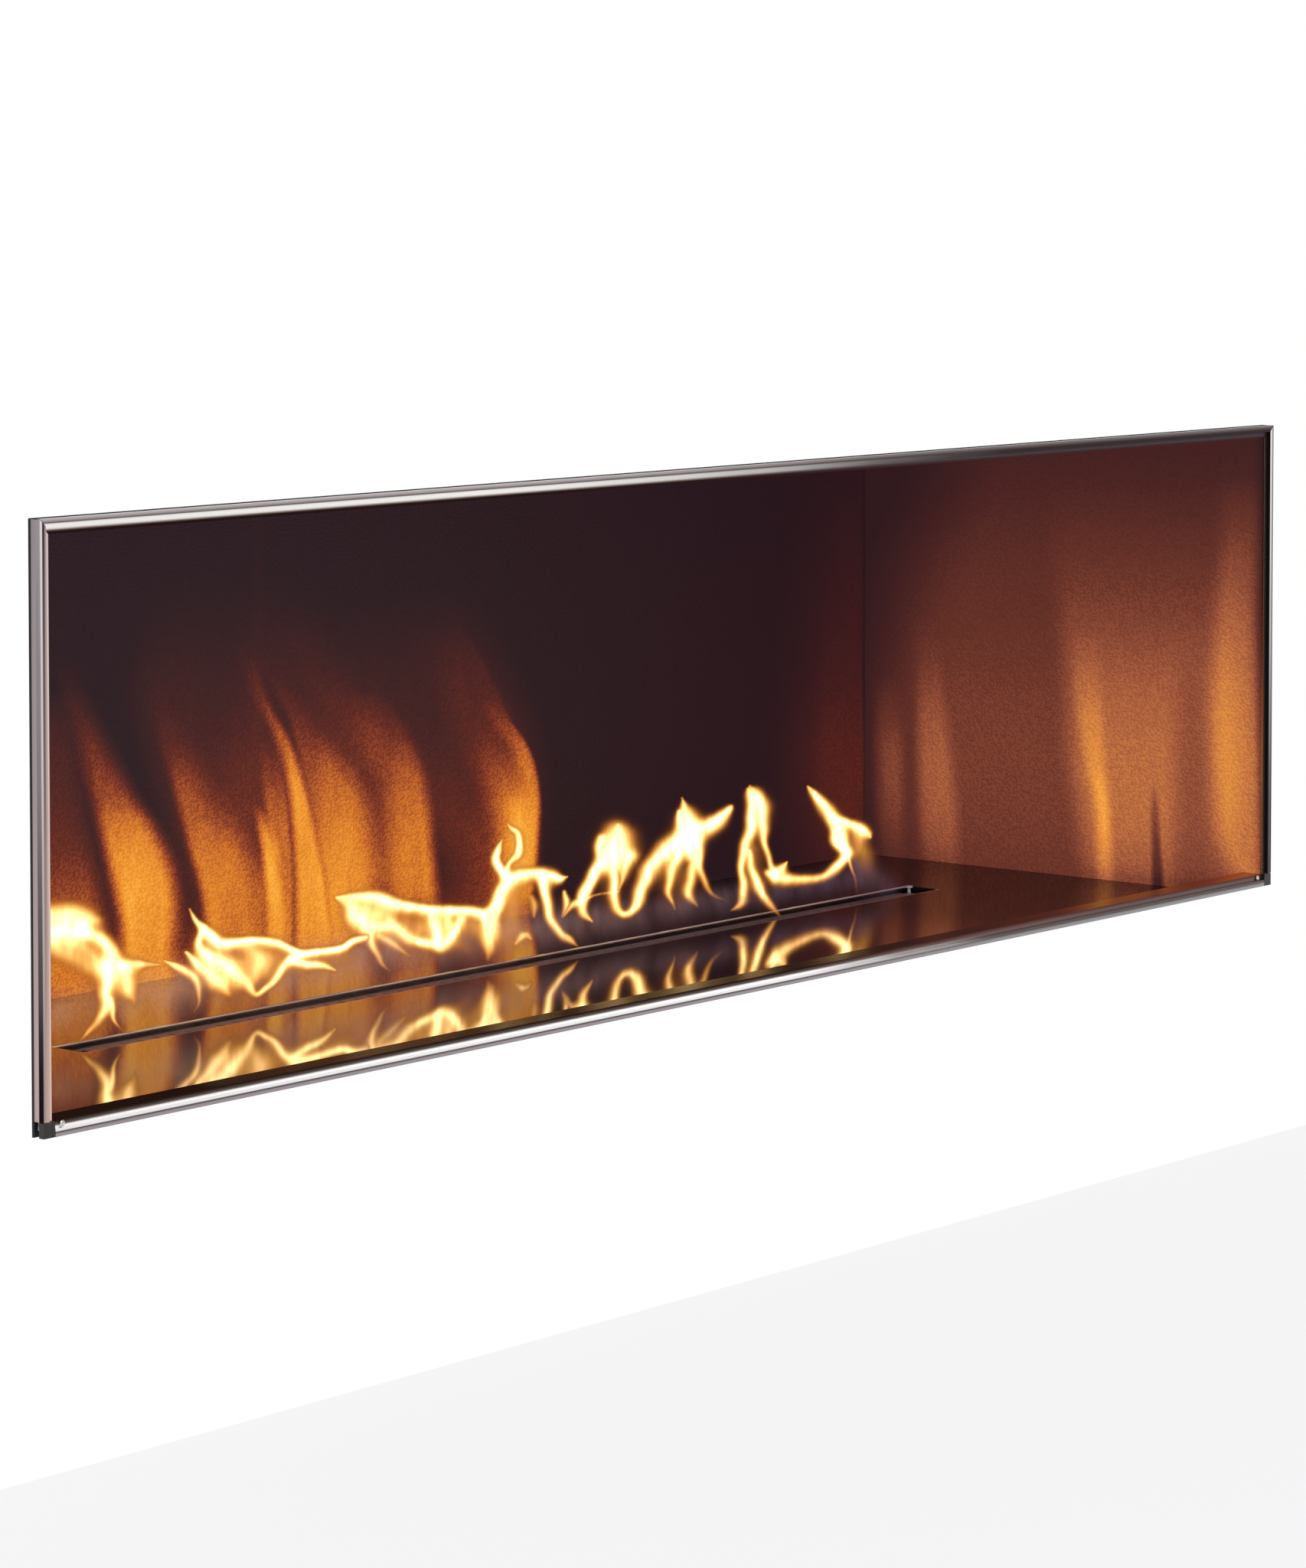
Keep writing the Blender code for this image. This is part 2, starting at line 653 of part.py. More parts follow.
def build_trim_top(b):
    outline = [(depth, OPENING_TOP + out) for out, depth in bent_sheet(trim_path(), TRIM_SHEET)]
    reach = HALF_WIDTH + TRIM_WIDTH
    mesh = extrusion("trim_top", [outline], "X", -reach, reach)
    for side in (-1, 1):
        corner, normal = mitre_planes(side)
        mesh = sliced(mesh, corner - normal * SEAT_GAP / 2, normal)
    b.place("trim_top", mesh, "trim_stainless")


def build_trim_side(b, name, side):
    outline = mirrored([(HALF_WIDTH + out, y) for out, y in bent_sheet(trim_path(), TRIM_SHEET)], side)
    top = OPENING_TOP + TRIM_WIDTH
    mesh = extrusion(name, [outline], "Z", OPENING_LOW + SEAT_GAP, top)
    corner, normal = mitre_planes(side)
    mesh = sliced(mesh, corner + normal * SEAT_GAP / 2, -normal)
    b.place(name, mesh, "trim_stainless")


def screw_x(side):
    return side * (HALF_WIDTH - SCREW_FROM_CORNER)


def screw_z():
    return OPENING_LOW - TRIM_BEAD / 2


def build_trim_bottom(b):
    """The bottom member carries the sill ledge and a hole for each small screw."""
    path = [(0, LEDGE_BACK)] + trim_path()
    outline = [(depth, OPENING_LOW - out) for out, depth in bent_sheet(path, TRIM_SHEET)]
    reach = HALF_WIDTH - SEAT_GAP
    mesh = extrusion("trim_bottom", [outline], "X", -reach, reach)
    ob = b.place("trim_bottom", mesh, "trim_stainless")
    hole = SCREW_SHANK_RADIUS + SEAT_GAP
    for side in (-1, 1):
        centre = (screw_x(side), 0, screw_z())
        b.cut(ob, rod("screw_hole", hole, "Y", centre, BEAD_FRONT - CUT_OVERRUN, 0))


def build_trim_corner(b, name, side):
    across = sorted_span(side, HALF_WIDTH, HALF_WIDTH + TRIM_WIDTH)
    low = OPENING_LOW - TRIM_WIDTH
    b.place(name, boxes(name, [(across, (FLANGE_FRONT, BEAD_BACK), (low, OPENING_LOW))]), "corner_black")


def build_trim_screw(b, name, side):
    """A small screw whose shank ends inside the bead's sheet."""
    head = SCREW_HEAD_RADIUS
    rounding = SCREW_HEAD_HEIGHT / 3
    profile = [
        (0, -SCREW_HEAD_HEIGHT),
        (head - rounding, -SCREW_HEAD_HEIGHT),
        (head, rounding - SCREW_HEAD_HEIGHT),
        (head, 0),
        (SCREW_SHANK_RADIUS, 0),
        (SCREW_SHANK_RADIUS, TRIM_SHEET),
        (0, TRIM_SHEET),
    ]
    centre = (screw_x(side), BEAD_FRONT - SEAT_GAP, screw_z())
    b.place(name, turned(name, profile[::-1], "Y", centre, SMALL_ROUND_STEPS), "trim_stainless")


def build_gasket(b):
    """A closed ring behind the flange's edge."""
    rings = []
    for out in (TRIM_WIDTH, TRIM_WIDTH - GASKET_WIDTH):
        reach = HALF_WIDTH + out
        rings.append(rectangle(-reach, reach, OPENING_LOW - out, OPENING_TOP + out))
    b.place("trim_gasket", extrusion("trim_gasket", rings, "Y", -GASKET_THICKNESS, 0), "gasket_black")


# Front frame and flanges


def opening_ring(out):
    reach = HALF_WIDTH + out
    return rectangle(-reach, reach, OPENING_LOW - out, OPENING_TOP + out)


def build_front_frame(b):
    """The plate behind the wall's face, with the collar that the trim seats on."""
    middle = COLLAR_OFFSET + FRAME_SHEET / 2
    face = [rectangle(-CASING_OUTER, CASING_OUTER, CASING_LOW, CASING_TOP), opening_ring(middle)]
    ob = b.place("front_frame", extrusion("front_frame", face, "Y", FRAME_SETBACK, FRAME_BACK), "galvanised")
    ring = [opening_ring(COLLAR_OFFSET + FRAME_SHEET), opening_ring(COLLAR_OFFSET)]
    b.join(ob, extrusion("collar", ring, "Y", LINER_FRONT, FRAME_BACK))


def build_nailing_flange(b, name, side):
    """An angle with slots for the nails."""
    inner = CASING_OUTER + SEAT_GAP
    path = [
        (inner + NAIL_FLANGE_WIDTH, FRAME_SETBACK),
        (inner, FRAME_SETBACK),
        (inner, FRAME_SETBACK + NAIL_LEG_DEPTH),
    ]
    outline = mirrored(bent_sheet(path[::-1], FRAME_SHEET), side)
    low = CASING_LOW + NAIL_FLANGE_RISE
    ob = b.place(name, extrusion(name, [outline], "Z", low, low + NAIL_FLANGE_LENGTH), "galvanised")
    middle = side * (inner + FRAME_SHEET + (NAIL_FLANGE_WIDTH - FRAME_SHEET) / 2)
    span = NAIL_FLANGE_LENGTH - 2 * NAIL_SLOT_END
    slots = []
    for number in range(NAIL_SLOT_COUNT):
        height = low + NAIL_SLOT_END + span * number / (NAIL_SLOT_COUNT - 1)
        slots.append(long_slot((middle, height), NAIL_SLOT_LENGTH, NAIL_SLOT_WIDTH, along_first=False))
    start = FRAME_SETBACK - CUT_OVERRUN
    end = FRAME_BACK + CUT_OVERRUN
    b.cut(ob, extrusion("nail_slots", slots, "Y", start, end))


# Casing


def vent_rows(middle, length):
    """Outlines of one stack of vents near the bottom of the casing."""
    rows = []
    for number in range(VENT_COUNT):
        height = PAN_TOP + VENT_RISE + number * VENT_PITCH
        rows.append(long_slot((middle, height), length, VENT_WIDTH))
    return rows


def build_casing_side(b, name, side):
    """A side sheet folded in at the front and the rear."""
    inner = CASING_OUTER - CASING_FLANGE
    path = [
        (inner, CASING_FRONT),
        (CASING_OUTER, CASING_FRONT),
        (CASING_OUTER, CASING_REAR),
        (inner, CASING_REAR),
    ]
    outline = mirrored(bent_sheet(path, CASING_SHEET), side)
    ob = b.place(name, extrusion(name, [outline], "Z", CASING_LOW, CASING_TOP), "galvanised")
    start = CASING_INNER - CUT_OVERRUN
    end = CASING_OUTER + CUT_OVERRUN
    vents = vent_rows(SIDE_VENT_FROM_WALL, SIDE_VENT_LENGTH)
    b.cut(ob, extrusion("side_vents", vents, "X", *sorted_span(side, start, end)))
    if side < 0:
        centre = (0, INLET_FROM_WALL, INLET_HEIGHT)
        hole = PIPE_RADIUS + GROMMET_WALL + 2 * SEAT_GAP
        b.cut(ob, rod("inlet_hole", hole, "X", centre, -end, -start, ROUND_STEPS))


def build_casing_back(b):
    face = [rectangle(-CASING_OUTER, CASING_OUTER, CASING_LOW, CASING_TOP)]
    ob = b.place("casing_back", extrusion("casing_back", face, "Y", BACK_FRONT, BACK_REAR), "galvanised")
    vents = []
    for side in (-1, 1):
        vents += vent_rows(side * BACK_VENT_FROM_MIDDLE, BACK_VENT_LENGTH)
    b.cut(ob, extrusion("back_vents", vents, "Y", BACK_FRONT - CUT_OVERRUN, BACK_REAR + CUT_OVERRUN))


def build_casing_top(b):
    """A lid folded down over the sides and the back, open at the front."""
    low = LID_LOW - LID_FLANGE
    shell = ((-LID_HALF, LID_HALF), (FRAME_SETBACK, LID_REAR), (low, LID_TOP))
    ob = b.place("casing_top", boxes("casing_top", [shell]), "galvanised")
    inner = LID_HALF - CASING_SHEET
    depth = (FRAME_SETBACK - CUT_OVERRUN, LID_REAR - CASING_SHEET)
    b.cut(ob, boxes("lid_room", [((-inner, inner), depth, (low - CUT_OVERRUN, LID_LOW))]))


def pan_flange_inset():
    return CASING_SHEET + SEAT_GAP


def build_base_pan(b):
    """A tray with upturned edges and the drain's hole."""
    reach = CASING_INNER - SEAT_GAP
    front = CASING_FRONT + pan_flange_inset()
    rear = CASING_REAR - pan_flange_inset()
    shell = ((-reach, reach), (front, rear), (CASING_LOW, CASING_LOW + PAN_FLANGE))
    ob = b.place("base_pan", boxes("base_pan", [shell]), "galvanised")
    wall = CASING_SHEET
    height = (PAN_TOP, CASING_LOW + PAN_FLANGE + CUT_OVERRUN)
    b.cut(ob, boxes("pan_room", [((wall - reach, reach - wall), (front + wall, rear - wall), height)]))
    centre = (0, DRAIN_FROM_WALL, 0)
    hole = DRAIN_RADIUS + SEAT_GAP
    b.cut(ob, rod("drain_hole", hole, "Z", centre, CASING_LOW - CUT_OVERRUN, PAN_TOP + CUT_OVERRUN))


def build_runner(b, name, side):
    """A channel on its side edges, closed face down."""
    middle = side * RUNNER_FROM_MIDDLE
    half = RUNNER_WIDTH / 2
    path = [
        (middle - half, RUNNER_HEIGHT),
        (middle - half, 0),
        (middle + half, 0),
        (middle + half, RUNNER_HEIGHT),
    ]
    outline = bent_sheet(path, RUNNER_SHEET)
    front = CASING_FRONT + RUNNER_INSET
    rear = CASING_REAR - RUNNER_INSET
    b.place(name, extrusion(name, [outline], "Y", front, rear), "casing_black")


def build_standoff(b, name, side, number):
    """A hat bracket that keeps framing off the lid."""
    low = LID_TOP + SEAT_GAP
    path = hat_path(side * RUNNER_FROM_MIDDLE, STANDOFF_HALF_TOP, STANDOFF_FOOT, low, STANDOFF_HEIGHT)
    start = STANDOFF_FROM_FACE - STANDOFF_LENGTH / 2 + number * STANDOFF_SPREAD
    mesh = extrusion(name, [bent_sheet(path, BRACKET_SHEET)], "Y", start, start + STANDOFF_LENGTH)
    b.place(name, mesh, "galvanised")


def build_heat_shield(b):
    """A bridge over the liner's top, standing on its two folded ends."""
    reach = HALF_WIDTH - SHIELD_SIDE_INSET
    low = OPENING_TOP + LINER_SHEET + SEAT_GAP
    path = [(reach, low), (reach, low + SHIELD_HEIGHT), (-reach, low + SHIELD_HEIGHT), (-reach, low)]
    outline = bent_sheet(path, SHIELD_SHEET)
    rear = FIREBOX_DEPTH - SHIELD_REAR_INSET
    b.place("heat_shield", extrusion("heat_shield", [outline], "Y", SHIELD_FRONT, rear), "galvanised")


def build_rear_spacer(b, name, side):
    """An upright hat section between the liner's back and the casing."""
    foot_front = CASING_REAR - BRACKET_SHEET
    crown_front = LINER_BACK_FACE + SEAT_GAP
    middle = HALF_WIDTH + SPACER_PAST_LINER
    half = SPACER_HALF_CROWN
    path = [
        (middle - half - SPACER_FOOT, foot_front),
        (middle - half, foot_front),
        (middle - half, crown_front),
        (middle + half, crown_front),
        (middle + half, foot_front),
        (middle + half + SPACER_FOOT, foot_front),
    ]
    outline = mirrored(bent_sheet(path, BRACKET_SHEET), side)
    low = CASING_LOW + SPACER_RISE
    b.place(name, extrusion(name, [outline], "Z", low, low + SPACER_LENGTH), "galvanised")


def build_drain(b):
    """A short nipple with a flange on the pan."""
    top = PAN_TOP + SEAT_GAP + CASING_SHEET
    shoulder = PAN_TOP + SEAT_GAP
    low = CASING_LOW - DRAIN_DROP
    profile = [
        (DRAIN_BORE, top),
        (DRAIN_FLANGE, top),
        (DRAIN_FLANGE, shoulder),
        (DRAIN_RADIUS, shoulder),
        (DRAIN_RADIUS, low),
        (DRAIN_BORE, low),
    ]
    b.place("drain_nipple", turned("drain_nipple", profile, "Z", (0, DRAIN_FROM_WALL, 0)), "brass")


# Liner


def build_liner_side(b, name, side):
    """A side sheet with a flange behind the back sheet's edge and a welded lip for the deck."""
    outer = HALF_WIDTH + LINER_SHEET
    low = LIP_TOP - LINER_SHEET / 2
    top = OPENING_TOP + LINER_SHEET
    path = [(outer, LINER_FRONT), (outer, FIREBOX_DEPTH), (outer + LINER_REAR_FLANGE, FIREBOX_DEPTH)]
    outline = mirrored(bent_sheet(path, LINER_SHEET), side)
    ob = b.place(name, extrusion(name, [outline], "Z", low, top), "hammered_stainless")
    sill = OPENING_LOW - COLLAR_OFFSET + SEAT_GAP
    across = sorted_span(side, HALF_WIDTH - CUT_OVERRUN, outer + CUT_OVERRUN)
    notch = (across, (LINER_FRONT - CUT_OVERRUN, CASING_FRONT), (low - CUT_OVERRUN, sill))
    b.cut(ob, boxes("sill_notch", [notch]))
    across = sorted_span(side, HALF_WIDTH - LINER_LIP, HALF_WIDTH + LINER_SHEET / 2)
    depth = (CASING_FRONT + LINER_SHEET, FIREBOX_DEPTH - SEAT_GAP)
    b.join(ob, boxes("deck_lip", [(across, depth, (LIP_TOP - LINER_SHEET, LIP_TOP))]))


def build_liner_back(b):
    """The back sheet: a lip below for the deck and a flange above for the top sheet."""
    top = OPENING_TOP - SEAT_GAP
    path = [
        (FIREBOX_DEPTH + LINER_REAR_FLANGE, top),
        (FIREBOX_DEPTH, top),
        (FIREBOX_DEPTH, LIP_TOP),
        (FIREBOX_DEPTH - LINER_LIP, LIP_TOP),
    ]
    reach = HALF_WIDTH - SEAT_GAP
    mesh = extrusion("liner_back", [bent_sheet(path, LINER_SHEET)], "X", -reach, reach)
    ob = b.place("liner_back", mesh, "hammered_stainless")
    inner = reach - LINER_LIP
    depth = (FIREBOX_DEPTH - LINER_LIP - CUT_OVERRUN, LINER_BACK_FACE + CUT_OVERRUN)
    height = (LIP_TOP - LINER_SHEET - CUT_OVERRUN, DECK_UNDER)
    notches = []
    for side in (-1, 1):
        notches.append((sorted_span(side, inner, reach + CUT_OVERRUN), depth, height))
    b.cut(ob, boxes("lip_notches", notches))


def build_liner_top(b):
    path = [
        (LINER_FRONT, OPENING_TOP),
        (LINER_BACK_FACE, OPENING_TOP),
        (LINER_BACK_FACE, OPENING_TOP + LINER_SHEET + LINER_UPTURN),
    ]
    reach = HALF_WIDTH - SEAT_GAP
    mesh = extrusion("liner_top", [bent_sheet(path, LINER_SHEET)], "X", -reach, reach)
    b.place("liner_top", mesh, "hammered_stainless")


# Deck and trough


def build_deck(b):
    """The black deck; it lifts straight off its lips."""
    reach = HALF_WIDTH - SEAT_GAP
    front = CASING_FRONT
    rear = FIREBOX_DEPTH - SEAT_GAP
    middle = Vector((0, (front + rear) / 2, DECK_UNDER))
    mesh = boxes("deck_panel", [((-reach, reach), (front, rear), (DECK_UNDER, DECK_HEIGHT))])
    ob = b.place("deck_panel", mesh, "deck_black", origin=middle)
    half = SLOT_WIDTH / 2
    depth = (SLOT_FROM_WALL - half, SLOT_FROM_WALL + half)
    height = (DECK_UNDER - CUT_OVERRUN, DECK_HEIGHT + CUT_OVERRUN)
    b.cut(ob, boxes("deck_slot", [((SLOT_LEFT, SLOT_RIGHT), depth, height)]))
    bevel = ob.modifiers.new("Edge", "BEVEL")
    bevel.width = DECK_CHAMFER
    bevel.segments = 1
    bevel.limit_method = "ANGLE"


def build_trough(b):
    """An open box below the slot, with a rim under the deck and holes in its left wall."""
    half = TROUGH_HALF
    front = SLOT_FROM_WALL - half
    rear = SLOT_FROM_WALL + half
    shell = ((TROUGH_LEFT, TROUGH_RIGHT), (front, rear), (TROUGH_LOW, LIP_TOP))
    ob = b.place("burner_trough", boxes("burner_trough", [shell]), "burner_steel")
    rim = (
        (TROUGH_LEFT - TROUGH_RIM, TROUGH_RIGHT + TROUGH_RIM),
        (front - TROUGH_RIM, rear + TROUGH_RIM),
        (LIP_TOP - TROUGH_SHEET, LIP_TOP),
    )
    b.join(ob, boxes("trough_rim", [rim]))
    wall = TROUGH_SHEET
    room = (
        (TROUGH_LEFT + wall, TROUGH_RIGHT - wall),
        (front + wall, rear - wall),
        (TROUGH_FLOOR, LIP_TOP + CUT_OVERRUN),
    )
    b.cut(ob, boxes("trough_room", [room]))
    holes = (
        (VENTURI_RADIUS, SLOT_FROM_WALL, MIXER_HEIGHT),
        (PILOT_TUBE_RADIUS, SLOT_FROM_WALL + PILOT_TUBE_OFFSET, pilot_tube_height()),
        (LEAD_RADIUS, SLOT_FROM_WALL - LEAD_OFFSET, lead_height()),
        (CAPILLARY_RADIUS, SLOT_FROM_WALL + CAPILLARY_OFFSET, capillary_height()),
    )
    start = TROUGH_LEFT - CUT_OVERRUN
    for radius, y, z in holes:
        b.cut(ob, rod("trough_hole", radius + 2 * SEAT_GAP, "X", (0, y, z), start, TROUGH_LEFT + CUT_OVERRUN))


def build_trough_leg(b, name, x):
    """A Z bracket between the pan and the trough."""
    low = PAN_TOP + SEAT_GAP
    top = TROUGH_LOW - SEAT_GAP - BRACKET_SHEET
    path = [(x - LEG_FOOT, low), (x, low), (x, top), (x + LEG_FOOT, top)]
    half = LEG_WIDTH / 2
    mesh = extrusion(
        name, [bent_sheet(path, BRACKET_SHEET)], "Y", SLOT_FROM_WALL - half, SLOT_FROM_WALL + half
    )
    b.place(name, mesh, "galvanised")


def build_saddle(b, name, x):
    """A hat section that holds the burner up off the trough's floor."""
    path = hat_path(SLOT_FROM_WALL, SADDLE_HALF_TOP, SADDLE_FOOT, TROUGH_FLOOR + SEAT_GAP, SADDLE_HEIGHT)
    half = SADDLE_LENGTH / 2
    mesh = extrusion(name, [bent_sheet(path, BRACKET_SHEET)], "X", x - half, x + half)
    b.place(name, mesh, "burner_steel")


# Burner


def build_burner_body(b):
    """The open channel under the perforated cover."""
    half = BURNER_WIDTH / 2
    path = [
        (SLOT_FROM_WALL - half, BODY_TOP),
        (SLOT_FROM_WALL - half, BODY_LOW),
        (SLOT_FROM_WALL + half, BODY_LOW),
        (SLOT_FROM_WALL + half, BODY_TOP),
    ]
    mesh = extrusion("burner_body", [bent_sheet(path, BURNER_SHEET)], "X", BODY_LEFT, BODY_RIGHT)
    b.place("burner_body", mesh, "burner_steel")


def build_burner_top(b):
    """The cover: folded down at the sides, with a raised rib and a row of slotted ports."""
    half = BURNER_WIDTH / 2 + SEAT_GAP + BURNER_SHEET
    skirt = COVER_TOP - BURNER_COVER_SKIRT - BURNER_SHEET
    right = [
        (half, skirt),
        (half, COVER_TOP),
        (RIB_HALF_WIDTH + RIB_SLOPE, COVER_TOP),
        (RIB_HALF_WIDTH, COVER_TOP + RIB_RISE),
    ]
    path = right + [(-across, height) for across, height in right[::-1]]
    outline = [(SLOT_FROM_WALL + across, z) for across, z in bent_sheet(path, BURNER_SHEET)]
    mesh = extrusion("burner_top", [outline], "X", BURNER_LEFT, BURNER_RIGHT)
    ob = b.place("burner_top", mesh, "burner_steel")
    length = BURNER_RIGHT - BURNER_LEFT - 2 * PORT_END_MARGIN
    count = int(length / PORT_PITCH) + 1
    first = (BURNER_LEFT + BURNER_RIGHT - (count - 1) * PORT_PITCH) / 2
    ports = []
    for number in range(count):
        centre = (first + number * PORT_PITCH, SLOT_FROM_WALL)
        ports.append(long_slot(centre, PORT_LENGTH, PORT_WIDTH, along_first=False))
    low = COVER_TOP - BURNER_SHEET - CUT_OVERRUN
    b.cut(ob, extrusion("burner_ports", ports, "Z", low, COVER_TOP + RIB_RISE + CUT_OVERRUN))


def build_burner_cap(b, name, side):
    """An end plate of the burner; the left one takes the venturi."""
    start = BURNER_LEFT if side < 0 else BURNER_RIGHT - BURNER_SHEET
    half = BURNER_WIDTH / 2
    depth = (SLOT_FROM_WALL - half, SLOT_FROM_WALL + half)
    mesh = boxes(name, [((start, start + BURNER_SHEET), depth, (BODY_LOW, BODY_TOP))])
    ob = b.place(name, mesh, "burner_steel")
    if side < 0:
        centre = (0, SLOT_FROM_WALL, MIXER_HEIGHT)
        hole = VENTURI_RADIUS + SEAT_GAP
        reach = (start - CUT_OVERRUN, start + BURNER_SHEET + CUT_OVERRUN)
        b.cut(ob, rod("venturi_hole", hole, "X", centre, *reach, ROUND_STEPS))


# Mixer


def air_window_cutter(name, radius, shift):
    """Two boxes through a sleeve's left and right side, along the mixer's axis."""
    reach = radius + CUT_OVERRUN
    half = AIR_WINDOW_WIDTH / 2
    length = (shift - AIR_WINDOW_LENGTH / 2, shift + AIR_WINDOW_LENGTH / 2)
    depth = (SLOT_FROM_WALL - reach, SLOT_FROM_WALL + reach)
    return boxes(name, [(length, depth, (MIXER_HEIGHT - half, MIXER_HEIGHT + half))])


def shutter_middle():
    return (BELL_LEFT + BELL_RIGHT) / 2


def build_venturi(b):
    """The mixing tube with its bell and two air windows."""
    wall = VENTURI_WALL
    end = BODY_LEFT + VENTURI_ENTRY
    profile = [
        (VENTURI_RADIUS - wall, end),
        (VENTURI_RADIUS, end),
        (VENTURI_RADIUS, VENTURI_LEFT),
        (BELL_RADIUS, BELL_RIGHT),
        (BELL_RADIUS, BELL_LEFT),
        (BELL_RADIUS - wall, BELL_LEFT),
        (BELL_RADIUS - wall, BELL_RIGHT),
        (VENTURI_RADIUS - wall, VENTURI_LEFT),
    ]
    mesh = turned("venturi", profile, "X", (0, SLOT_FROM_WALL, MIXER_HEIGHT))
    ob = b.place("venturi", mesh, "cast_aluminium")
    b.cut(ob, air_window_cutter("venturi_windows", BELL_RADIUS, shutter_middle()))


def build_air_shutter(b):
    """A sleeve that turns on the bell; its windows line up with the bell's when open."""
    inner = BELL_RADIUS + SEAT_GAP
    outer = inner + SHUTTER_WALL
    half = SHUTTER_LENGTH / 2
    profile = [(inner, half), (outer, half), (outer, -half), (inner, -half)]
    centre = Vector((shutter_middle(), SLOT_FROM_WALL, MIXER_HEIGHT))
    ob = b.place("air_shutter", turned("air_shutter", profile, "X", centre), "brass", origin=centre)
    tab = SHUTTER_WALL / 2
    spans = (
        (centre.x - SHUTTER_TAB / 2, centre.x + SHUTTER_TAB / 2),
        (SLOT_FROM_WALL - tab, SLOT_FROM_WALL + tab),
        (MIXER_HEIGHT - outer - SHUTTER_TAB, MIXER_HEIGHT - inner - SHUTTER_WALL / 2),
    )
    b.join(ob, boxes("shutter_tab", [spans]))
    b.cut(ob, air_window_cutter("shutter_windows", outer, centre.x))


def build_gas_jet(b):
    """A hexagonal fitting with a drilled nozzle that points into the bell."""
    centre = (0, SLOT_FROM_WALL, MIXER_HEIGHT)
    mesh = rod("gas_jet", JET_HEX_RADIUS, "X", centre, JET_LEFT, JET_RIGHT, 6)
    ob = b.place("gas_jet", mesh, "brass")
    tip = JET_RIGHT + JET_NOZZLE_LENGTH
    b.join(ob, rod("jet_nozzle", JET_NOZZLE_RADIUS, "X", centre, JET_RIGHT - CUT_OVERRUN, tip))
    reach = (JET_LEFT - CUT_OVERRUN, tip + CUT_OVERRUN)
    b.cut(ob, rod("jet_orifice", JET_ORIFICE_RADIUS, "X", centre, *reach, 8))


# Controls


def build_gas_valve(b):
    """The valve block with its outlet boss, inlet boss and stem."""
    rear = VALVE_FRONT + VALVE_WIDTH
    span = ((VALVE_LEFT, VALVE_RIGHT), (VALVE_FRONT, rear), (VALVE_LOW, VALVE_TOP))
    ob = b.place("gas_valve", boxes("gas_valve", [span]), "cast_aluminium")
    bevel = ob.modifiers.new("Edge", "BEVEL")
    bevel.width = VALVE_ROUNDING
    bevel.segments = 2
    outlet = (0, SLOT_FROM_WALL, MIXER_HEIGHT)
    boss_end = JET_LEFT - SEAT_GAP
    b.join(ob, rod("valve_outlet", VALVE_BOSS_RADIUS, "X", outlet, VALVE_RIGHT - CUT_OVERRUN, boss_end))
    inlet = (INLET_PORT_X, 0, INLET_PORT_Z)
    front = VALVE_FRONT - VALVE_INLET_LENGTH
    b.join(ob, rod("valve_inlet", VALVE_INLET_RADIUS, "Y", inlet, front, VALVE_FRONT + CUT_OVERRUN))
    stem = (STEM_X, SLOT_FROM_WALL, 0)
    b.join(ob, rod("valve_stem", VALVE_STEM_RADIUS, "Z", stem, VALVE_TOP - CUT_OVERRUN, STEM_TOP))


def build_control_bracket(b):
    """A folded plate on the pan that carries the valve, the knob's stem and the igniter."""
    low = PAN_TOP + SEAT_GAP
    left = VALVE_LEFT - BRACKET_END_GAP - BRACKET_SHEET
    right = VALVE_RIGHT + BRACKET_OVERHANG
    path = [(left + BRACKET_FOOT, low), (left, low), (left, BRACKET_TOP), (right, BRACKET_TOP)]
    outline = bent_sheet(path[::-1], BRACKET_SHEET)
    rear = VALVE_FRONT + VALVE_WIDTH
    mesh = extrusion("control_bracket", [outline], "Y", VALVE_FRONT - BRACKET_FRONT_OVERHANG, rear)
    ob = b.place("control_bracket", mesh, "galvanised")
    reach = (VALVE_TOP - CUT_OVERRUN, BRACKET_TOP + CUT_OVERRUN)
    stem_hole = VALVE_STEM_RADIUS + SHUTTER_WALL
    b.cut(ob, rod("stem_hole", stem_hole, "Z", (STEM_X, SLOT_FROM_WALL, 0), *reach))
    neck_hole = IGNITER_NECK_RADIUS + SEAT_GAP
    b.cut(ob, rod("igniter_hole", neck_hole, "Z", (IGNITER_X, IGNITER_Y, 0), *reach))


def build_knob(b):
    """A fluted knob with a pointer bar and a blind bore for the stem."""
    roof = KNOB_HEIGHT - KNOB_ROOF
    bore = VALVE_STEM_RADIUS + SEAT_GAP
    edge = KNOB_ROOF / 3
    profile = [
        (0, KNOB_HEIGHT),
        (KNOB_RADIUS - edge, KNOB_HEIGHT),
        (KNOB_RADIUS, KNOB_HEIGHT - edge),
        (KNOB_RADIUS, 0),
        (bore, 0),
        (bore, roof),
        (0, roof),
    ]
    centre = Vector((STEM_X, SLOT_FROM_WALL, KNOB_LOW))
    ob = b.place("control_knob", turned("control_knob", profile, "Z", centre), "control_black", origin=centre)
    for number in range(KNOB_GROOVES):
        angle = 2 * math.pi * (number + 0.5) / KNOB_GROOVES
        place = (centre.x + KNOB_RADIUS * math.cos(angle), centre.y + KNOB_RADIUS * math.sin(angle), 0)
        reach = (KNOB_LOW - CUT_OVERRUN, KNOB_LOW + KNOB_HEIGHT + CUT_OVERRUN)
        b.cut(ob, rod("knob_groove", KNOB_GROOVE_RADIUS, "Z", place, *reach, 8))
    half = KNOB_POINTER_WIDTH / 2
    top = KNOB_LOW + KNOB_HEIGHT
    bar = (
        (centre.x - half, centre.x + half),
        (centre.y - KNOB_RADIUS + 2 * edge, centre.y),
        (top - KNOB_ROOF / 2, top + KNOB_POINTER_HEIGHT),
    )
    b.join(ob, boxes("knob_pointer", [bar]))


